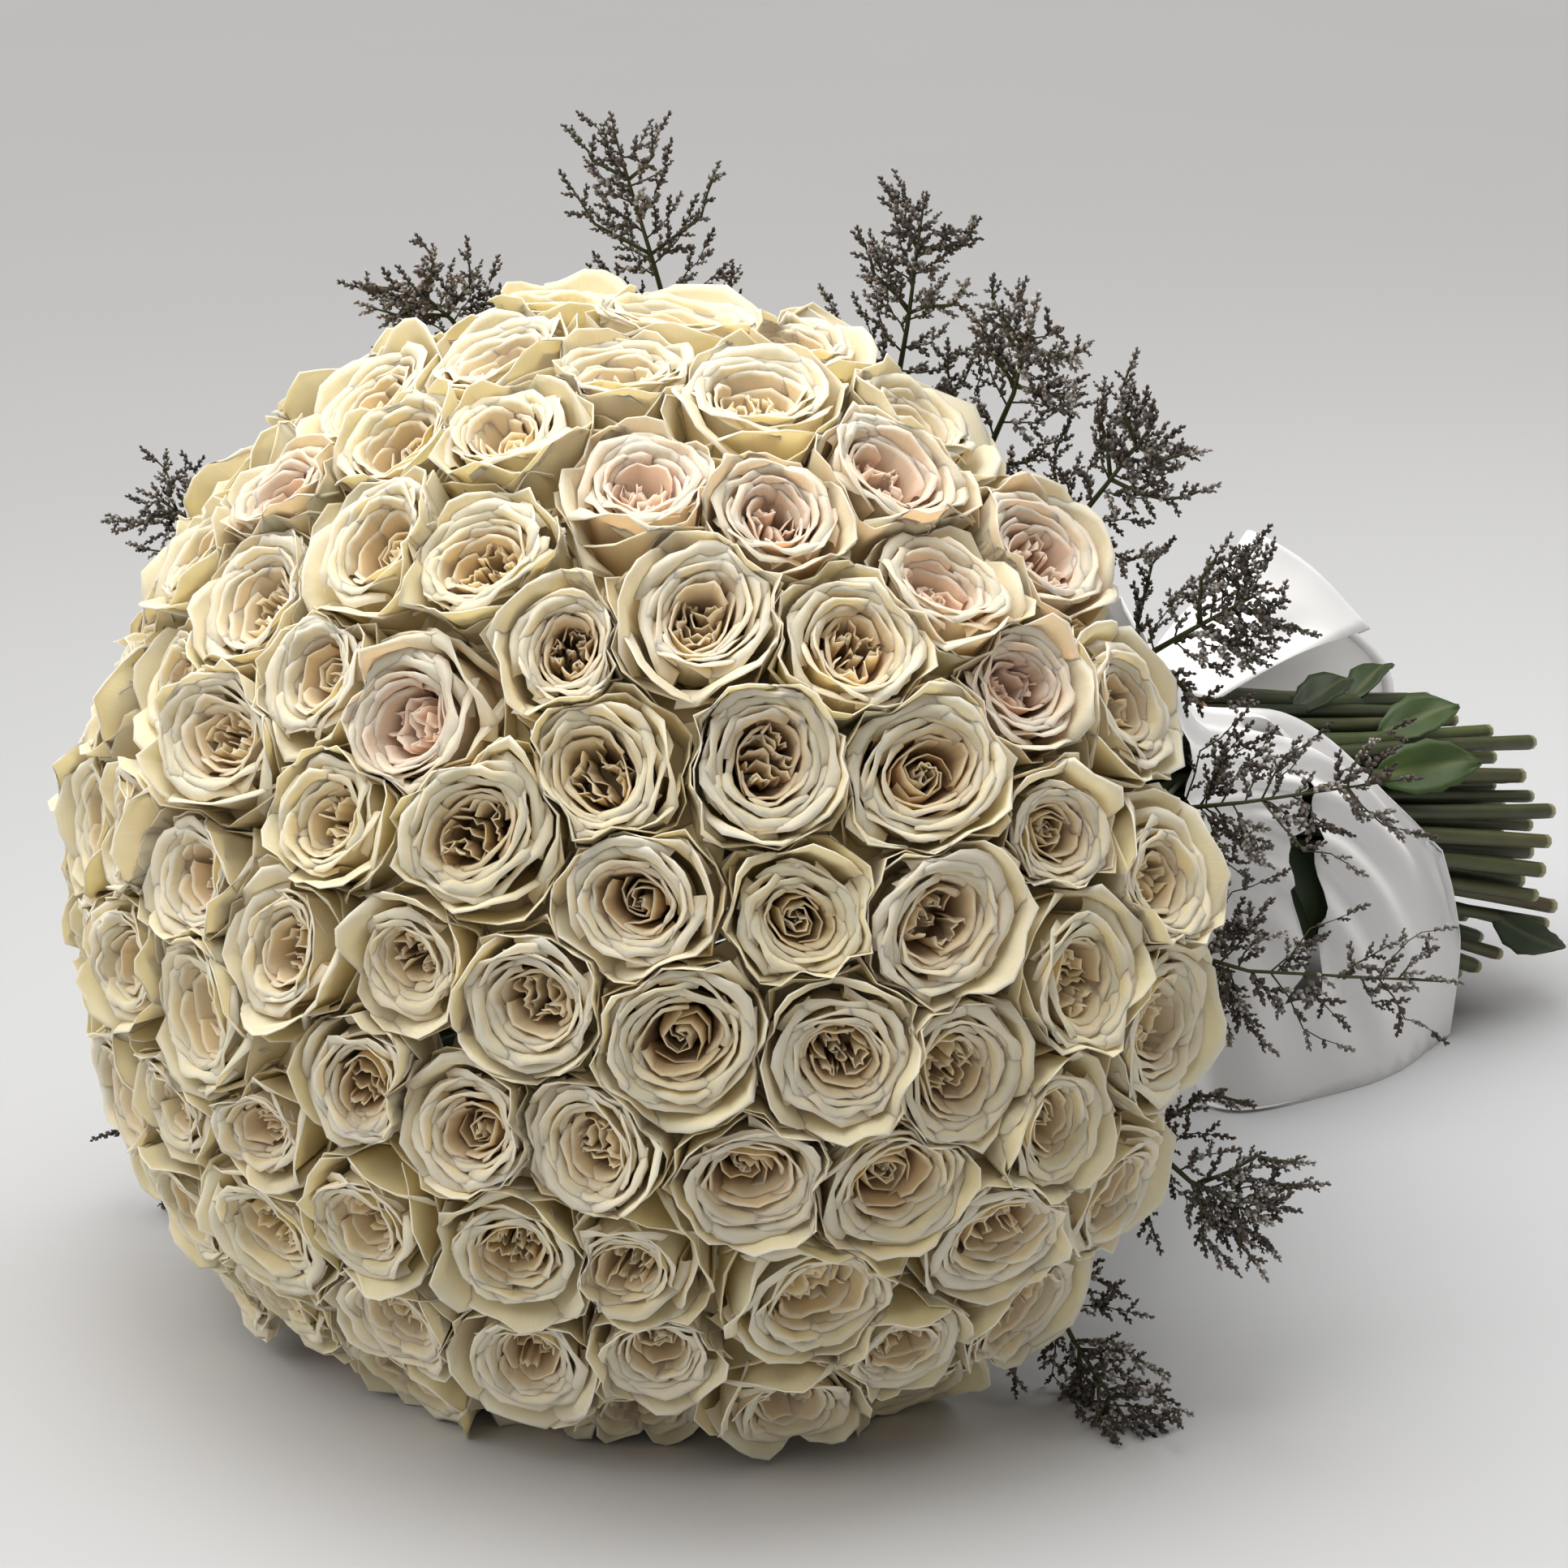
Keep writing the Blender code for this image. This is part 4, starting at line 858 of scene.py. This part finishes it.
def dressTwig(path, radius, first, full, parts):
    # a twig along its path, with bud twigs all round it and one at its tip
    path = bent(path)
    path[:, 2] = np.maximum(path[:, 2], spray["twigLowest"])
    radii = np.linspace(radius, radius * spray["twigThins"], len(path))
    parts.append(tube(path, radii, spray["twigSides"], sprayTones["stem"]))
    steps = np.linalg.norm(np.diff(path, axis=0), axis=1)
    marks = np.concatenate([[0], np.cumsum(steps)])
    side = unit(np.cross(path[-1] - path[0], draw.normal(0, 1, 3)))
    for k, at in enumerate(np.arange(first * marks[-1], marks[-1], spray["budEvery"] / full)):
        at = min(at + draw.uniform(-spray["budUneven"], spray["budUneven"]) * spray["budEvery"], marks[-1])
        point = np.array([np.interp(at, marks, path[:, c]) for c in range(3)])
        segment = min(len(steps) - 1, max(0, int(np.searchsorted(marks, at, side="right")) - 1))
        ahead = unit(path[segment + 1] - path[segment])
        turn = math.pi * k + draw.normal(0, 0.8)
        aside = side * math.cos(turn) + np.cross(ahead, side) * math.sin(turn)
        way = unit(ahead * 0.8 + aside * draw.uniform(0.4, 1.1))
        longest, shrinks = spray["budShrinks"]
        size = spray["budTwig"] * (longest - shrinks * at / marks[-1]) * draw.uniform(*spray["budSizes"])
        putBudTwig(point, way, size, parts)
    putBudTwig(path[-1], unit(path[-1] - path[-2]), spray["budTwig"] * 0.9, parts)


def onStem(ends, share):
    # a place on the last two stretches of a spray's stem, and which way the stem runs there
    before, low, high = ends
    if share < 0.4:
        return before + (low - before) * share / 0.4, unit(low - before)
    return low + (high - low) * (share - 0.4) / 0.6, unit(high - low)


spraySeed = rng.random((len(sprayRows), 6 * spray["pairs"]))
for number, (angle, reach, lean, full) in enumerate(sprayRows, 1):
    turn = math.radians(angle)
    away = domeAcross * math.cos(turn) + domeUp * math.sin(turn)
    side = math.pi / spray["bundleSides"]
    hold = stems["bundle"] * math.cos(side) / math.cos(turn % (2 * side) - side) + spray["stem"] + rose["gap"]
    root = atTie(-spray["rootBack"] * stems["half"], -hold * math.cos(turn), hold * math.sin(turn))
    wide = spray["leaveOut"] * hold
    leave = atTie(-spray["leaveBack"] * stems["half"], -wide * math.cos(turn), wide * math.sin(turn))
    behind = centre + away * spray["behind"][0] + domeOut * spray["behind"][1]
    over = centre + away * spray["over"][0] + domeOut * spray["over"][1]
    tip = centre + away * reach + domeOut * lean
    half = leave * 0.52 + behind * 0.48
    path = [root, leave, half, behind, tip] if reach < spray["over"][0] else [root, leave, half, behind, over, tip]
    for point in path:
        point[2] = max(point[2], spray["lowest"])
    across = unit(np.cross(domeOut, away))
    thin = [1] * (len(path) - 2) + [0.6, 0.3]
    thin = [spray["stem"] * share * (0.75 if full < spray["thinUnder"] else 1) for share in thin]
    parts = [tube(path, thin, spray["stemSides"], sprayTones["stem"])]
    low, high = path[-2:]
    draws = iter(spraySeed[number - 1])
    for k in range(spray["pairs"]):
        share = (k + 0.4) / spray["pairs"]
        start, along = onStem(path[-3:], share)
        length = spray["twigLength"] * (1.1 - 0.55 * share)
        for way in (across, -across):
            first = unit(along * 0.6 + way * 0.8 + domeOut * (next(draws) * 0.8 - 0.4))
            second = unit(along * 0.9 + way * 0.4 + domeOut * (next(draws) * 0.8 - 0.4))
            size = length * (0.75 + 0.35 * next(draws))
            fork = start + first * size * 0.6
            last = fork + second * size * 0.4
            fork[2], last[2] = max(fork[2], spray["lowest"]), max(last[2], spray["lowest"])
            dressTwig([start, fork, last], spray["twig"] * min(1, full), 0.2, full, parts)
    for k in range(spray["sideTwigs"]):
        share = 0.20 + 0.78 * ((k + draw.uniform(0, 1)) / spray["sideTwigs"])**(1.2 / full)
        start, along = onStem(path[-3:], share)
        first = unit(along * draw.uniform(0.4, 0.9) + across * 0.85 * (-1)**k + domeOut * draw.uniform(-0.7, 0.05))
        size = spray["sideLength"][1] - (spray["sideLength"][1] - spray["sideLength"][0]) * share
        size *= draw.uniform(0.65, 1.2)
        fork = start + first * size * 0.55
        last = fork + unit(first + along * 0.7 + draw.normal(0, 0.25, 3)) * size * 0.45
        dressTwig([start, fork, last], spray["twigFine"], 0.15, 1, parts)
    dressTwig([low + (high - low) * 0.35, low + (high - low) * 0.7, high], spray["twigFine"], 0.0, full, parts)
    buildPiece(f"sea_lavender_spray_{number:02d}", parts, sprayPaper,
               f"sea_lavender_{number:02d}", "sprayTone")
print("sprays made:", len(sprayRows))


# The sheer wrap: gathered at the tie, spread back round the stems and down to the floor, open on top, slit on the
# near side. Each collar row is (how far along the bundle, radius). Each rim row is the angle at the tie and the
# rim's place. Each slit row is a rim row's number and the shares of its length where the cloth stops and starts again
wrap = {"thick": 0.00045, "neck": 0.0522, "start": 0.012, "flare": 0.030, "fold": 0.004, "steps": 6, "ahead": 0.45,
        "pleats": 0.0020, "pleatEvery": 3.3, "pleatsAt": (0.12, 0.14), "collarPleats": 0.6, "collarWave": 0.03,
        "collarEvery": 5.1, "within": 9, "beyond": 16, "hem": 0.009, "turnIn": 0.0010, "band": 0.015,
        "bandIn": 0.0016, "bandAt": (-0.07, 0.35, 0.75, 1.0), "joinWithin": 0.00002}
wrapCollar = ((-0.100, 0.1010), (-0.064, 0.0780), (-0.042, 0.0655), (-0.020, 0.0560), (-0.003, 0.0530))
wrapRim = ((62, 0.030, 0.430, 0.215), (78, 0.012, 0.405, 0.247), (95, -0.008, 0.385, 0.264),
           (115, -0.038, 0.430, 0.242), (135, -0.062, 0.520, 0.190), (160, -0.080, 0.605, 0.135),
           (185, -0.090, 0.620, 0.085), (208, -0.090, 0.600, 0.030), (228, -0.085, 0.540, -0.050),
           (248, -0.060, 0.440, -0.060), (268, -0.015, 0.370, -0.065), (288, 0.028, 0.330, -0.065),
           (306, 0.048, 0.345, -0.062), (322, 0.062, 0.405, -0.062), (339, 0.062, 0.440, -0.062),
           (357, 0.055, 0.472, -0.035), (374, 0.062, 0.474, 0.040), (394, 0.070, 0.456, 0.078),
           (416, 0.074, 0.436, 0.112))
wrapSlit = ((0, 0.55, 0.55), (12.5, 0.55, 0.55), (13, 0.43, 0.53), (13.33, 0.34, 0.46), (13.67, 0.25, 0.39),
            (14, 0.19, 0.34), (14.33, 0.165, 0.29), (14.83, 0.155, 0.23), (16, 0.18, 0.21), (16.5, 0.195, 0.195),
            (18, 0.20, 0.20))


def smoothTable(rows, steps):
    # a smooth curve through the rows, with so many steps between two of them
    rows = np.array(rows, float)
    padded = np.concatenate([2 * rows[:1] - rows[1:2], rows, 2 * rows[-1:] - rows[-2:-1]])
    found = []
    for k in range(len(rows) - 1):
        a, b, c, d = padded[k:k + 4]
        for s in np.arange(steps) / steps:
            bend, twist = (2 * a - 5 * b + 4 * c - d) * s**2, (3 * b - a - 3 * c + d) * s**3
            found.append(0.5 * (2 * b + (c - a) * s + bend + twist))
    return np.array(found + [rows[-1]])


def wrapColumn(k, angle, rim):
    at, upTo, onwards = np.array(wrapSlit).T
    low, high = (np.interp(k / wrap["steps"], at, shares) for shares in (upTo, onwards))
    shares = np.concatenate([np.linspace(0, low, wrap["within"]), np.linspace(high, 1, wrap["beyond"])])[:, None]
    t = math.radians(angle)
    away = bundleAcross * math.cos(t) + bundleUp * math.sin(t)
    root = atTie(wrap["start"], wrap["neck"] * math.cos(t), wrap["neck"] * math.sin(t))
    flare = wrap["flare"] * np.clip(1 - (angle - 360) / 50, 0.1, 1)
    turn = root + bundleAlong * wrap["ahead"] * max(0.0, (rim - root) @ bundleAlong) + away * flare
    wave = math.cos(math.tau * k / wrap["steps"]) * wrap["fold"] * np.sin(math.pi * np.minimum(1.0, shares * 1.3))
    pleat = math.sin(math.tau * k / wrap["pleatEvery"])
    most, wide = wrap["pleatsAt"]
    wave = wave + wrap["pleats"] * pleat * np.exp(-((shares - most) / wide)**2)
    column = root * (1 - shares)**2 + turn * 2 * shares * (1 - shares) + rim * shares**2 + away * wave
    column[:, 2] = np.maximum(column[:, 2], wrap["thick"] / 2 + 0.0001)
    # the hem turns over inwards
    outwards = unit(column[-1] - column[-2])
    lift = wrap["turnIn"] * (np.array([0, 0, 1]) if column[-1, 2] < 0.002 else -away)
    hem = [column[-1] + outwards * wrap["turnIn"] + lift, column[-1] - outwards * wrap["hem"] + lift * 1.6]
    # gathered over the twine, with a collar that opens towards the roses
    collar = []
    for along, size in wrapCollar:
        size += wrap["pleats"] * wrap["collarPleats"] * pleat
        size -= along * wrap["collarWave"] * math.sin(math.tau * k / wrap["collarEvery"])
        collar.append(atTie(along, size * math.cos(t), size * math.sin(t)))
    return np.concatenate([collar, column, hem])


def wrapSheet():
    grid = [wrapColumn(k, row[0], row[1:]) for k, row in enumerate(smoothTable(wrapRim, wrap["steps"]))]
    # the near edge is turned over too, widest half way along
    edge = grid[-1]
    across = unitRows(edge - grid[-2])
    wide = wrap["band"] * np.sin(math.pi * np.linspace(0.08, 0.92, len(edge)))[:, None]
    inside = unit(bundleUp * -0.4 - bundleAcross) * wrap["bandIn"]
    for back in wrap["bandAt"]:
        grid.append(edge - across * wide * back + inside * (1 + max(0, back)))
    return np.array(grid)


grid = wrapSheet()
columns, rows = grid.shape[:2]
index = np.arange(columns * rows).reshape(columns, rows)
quads = [(index[i, j], index[i + 1, j], index[i + 1, j + 1], index[i, j + 1]) for i in range(columns - 1)
         for j in range(rows - 1) if j != len(wrapCollar) + wrap["within"] - 1]
mesh = bpy.data.meshes.new("sheer_wrap_cloth")
mesh.from_pydata((grid.reshape(-1, 3) + shift).tolist(), [], [tuple(int(v) for v in q) for q in quads])
weave = mesh.uv_layers.new(name="weaveMap")
corner = np.empty(len(mesh.loops), int)
mesh.loops.foreach_get("vertex_index", corner)
weave.data.foreach_set("uv", np.stack([corner // rows / columns, corner % rows / rows], axis=1).ravel())
mesh.update()
cloth = addObject("sheer_wrap_cloth", mesh)
bpy.context.view_layer.objects.active = cloth
cloth.select_set(True)
bpy.ops.object.mode_set(mode="EDIT")
bpy.ops.mesh.select_all(action="SELECT")
bpy.ops.mesh.remove_doubles(threshold=wrap["joinWithin"])
bpy.ops.object.mode_set(mode="OBJECT")
wall = cloth.modifiers.new("wall", "SOLIDIFY")
wall.thickness, wall.offset, wall.use_even_offset = wrap["thick"], 0, False
bpy.ops.object.modifier_apply(modifier="wall")
bpy.ops.object.shade_smooth()
bpy.ops.object.select_all(action="DESELECT")
cloth.data.materials.append(organza)
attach(cloth, "root")
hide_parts("sheer_wrap")


# Floor: pale paper, wide enough to reach the horizon, its tone wandering a little
floorLook = {"size": 40, "tones": ("#BBBCBE", "#BFC0C2"), "roughness": 0.8, "patches": 0.5}
bpy.ops.mesh.primitive_plane_add(size=floorLook["size"], location=(0, 0, 0))
floor = bpy.context.object
floor.name = "pale_floor"
paper, tree, shader = newMaterial("floor_paper_matt", {"Roughness": floorLook["roughness"], "Specular IOR Level": 0.2})
place = addNode(tree, "ShaderNodeTexCoord")
noise = addNode(tree, "ShaderNodeTexNoise", {"Scale": 1 / floorLook["patches"], "Detail": 2.0},
                {"Vector": (place, "Object")})
twoTones(tree, shader, noise, floorLook["tones"])
floor.data.materials.append(paper)

# The camera stands where the photograph was taken, found from the dome's outline and the stems
view = {"azimuth": 44.0, "elevation": 18.2, "distance": 1.5, "target": (0.058, 0.0, 0.245), "lens": 87.95}
a, e = math.radians(view["azimuth"]), math.radians(view["elevation"])
back = np.array([math.sin(a) * math.cos(e), -math.cos(a) * math.cos(e), math.sin(e)])
right = unit(np.cross([0, 0, 1.0], back))
up = np.cross(back, right)
position = np.array(view["target"]) + shift + back * view["distance"]
camera = addObject("photo_camera", bpy.data.cameras.new("photo_camera"))
camera.data.lens, camera.data.sensor_width, camera.data.clip_start = view["lens"], 36, 0.05
turned = np.eye(4)
turned[:3, 0], turned[:3, 1], turned[:3, 2], turned[:3, 3] = right, up, back, position
camera.matrix_world = Matrix(turned.tolist())
bpy.context.scene.camera = camera

# Soft light: a broad window on the left, a faint one on the right, softboxes right, above and in front, and a pale
# surround. Each light stands so far to the camera's right, towards the camera and up from the bouquet
lights = (("window_left", "SUN", (-0.60, -0.02, 1.00),
           {"energy": 3.0, "angle": math.radians(84), "color": (1.0, 0.985, 0.965)}),
          ("window_right", "SUN", (0.85, 0.10, 0.70), {"energy": 0.1, "angle": math.radians(60)}),
          ("softbox_right", "AREA", (1.25, -0.55, 1.15), {"energy": 8.0, "size": 1.0}),
          ("softbox_above", "AREA", (-0.04, 0.03, 1.20), {"energy": 10.0, "size": 0.9}),
          ("softbox_front", "AREA", (-0.20, 1.00, 0.60), {"energy": 1.3, "size": 1.2}))
surround = {"colour": "#F4EBDC", "strength": 0.19}
level = unit((back[0], back[1], 0))
target = np.array([0.0, -0.12, 0.2])


def addLight(name, kind, offset, settings):
    light = bpy.data.lights.new(name, kind)
    for key, value in settings.items():
        setattr(light, key, value)
    spot = right * offset[0] + level * offset[1] + np.array([0, 0, offset[2]])
    aim = unit(spot)
    side = unit(np.cross((0.1, 0.2, 1.0), aim))
    turned = Matrix(np.stack([side, np.cross(aim, side), aim], axis=1).tolist()).to_4x4()
    addObject(name, light).matrix_world = Matrix.Translation((target + spot).tolist()) @ turned


for name, kind, offset, settings in lights:
    addLight(name, kind, offset, settings)
world = bpy.data.worlds.new("studio_surround")
world.use_nodes = True
world.node_tree.nodes["Background"].inputs["Color"].default_value = (*toLinear(surround["colour"]), 1)
world.node_tree.nodes["Background"].inputs["Strength"].default_value = surround["strength"]
bpy.context.scene.world = world
bpy.context.scene.view_settings.view_transform = "Standard"
print("light and camera set")

made = [o for o in bpy.context.scene.objects if o.type == "MESH" and o.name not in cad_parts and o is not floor]
print("triangles added:", sum(len(p.vertices) - 2 for o in made for p in o.data.polygons))
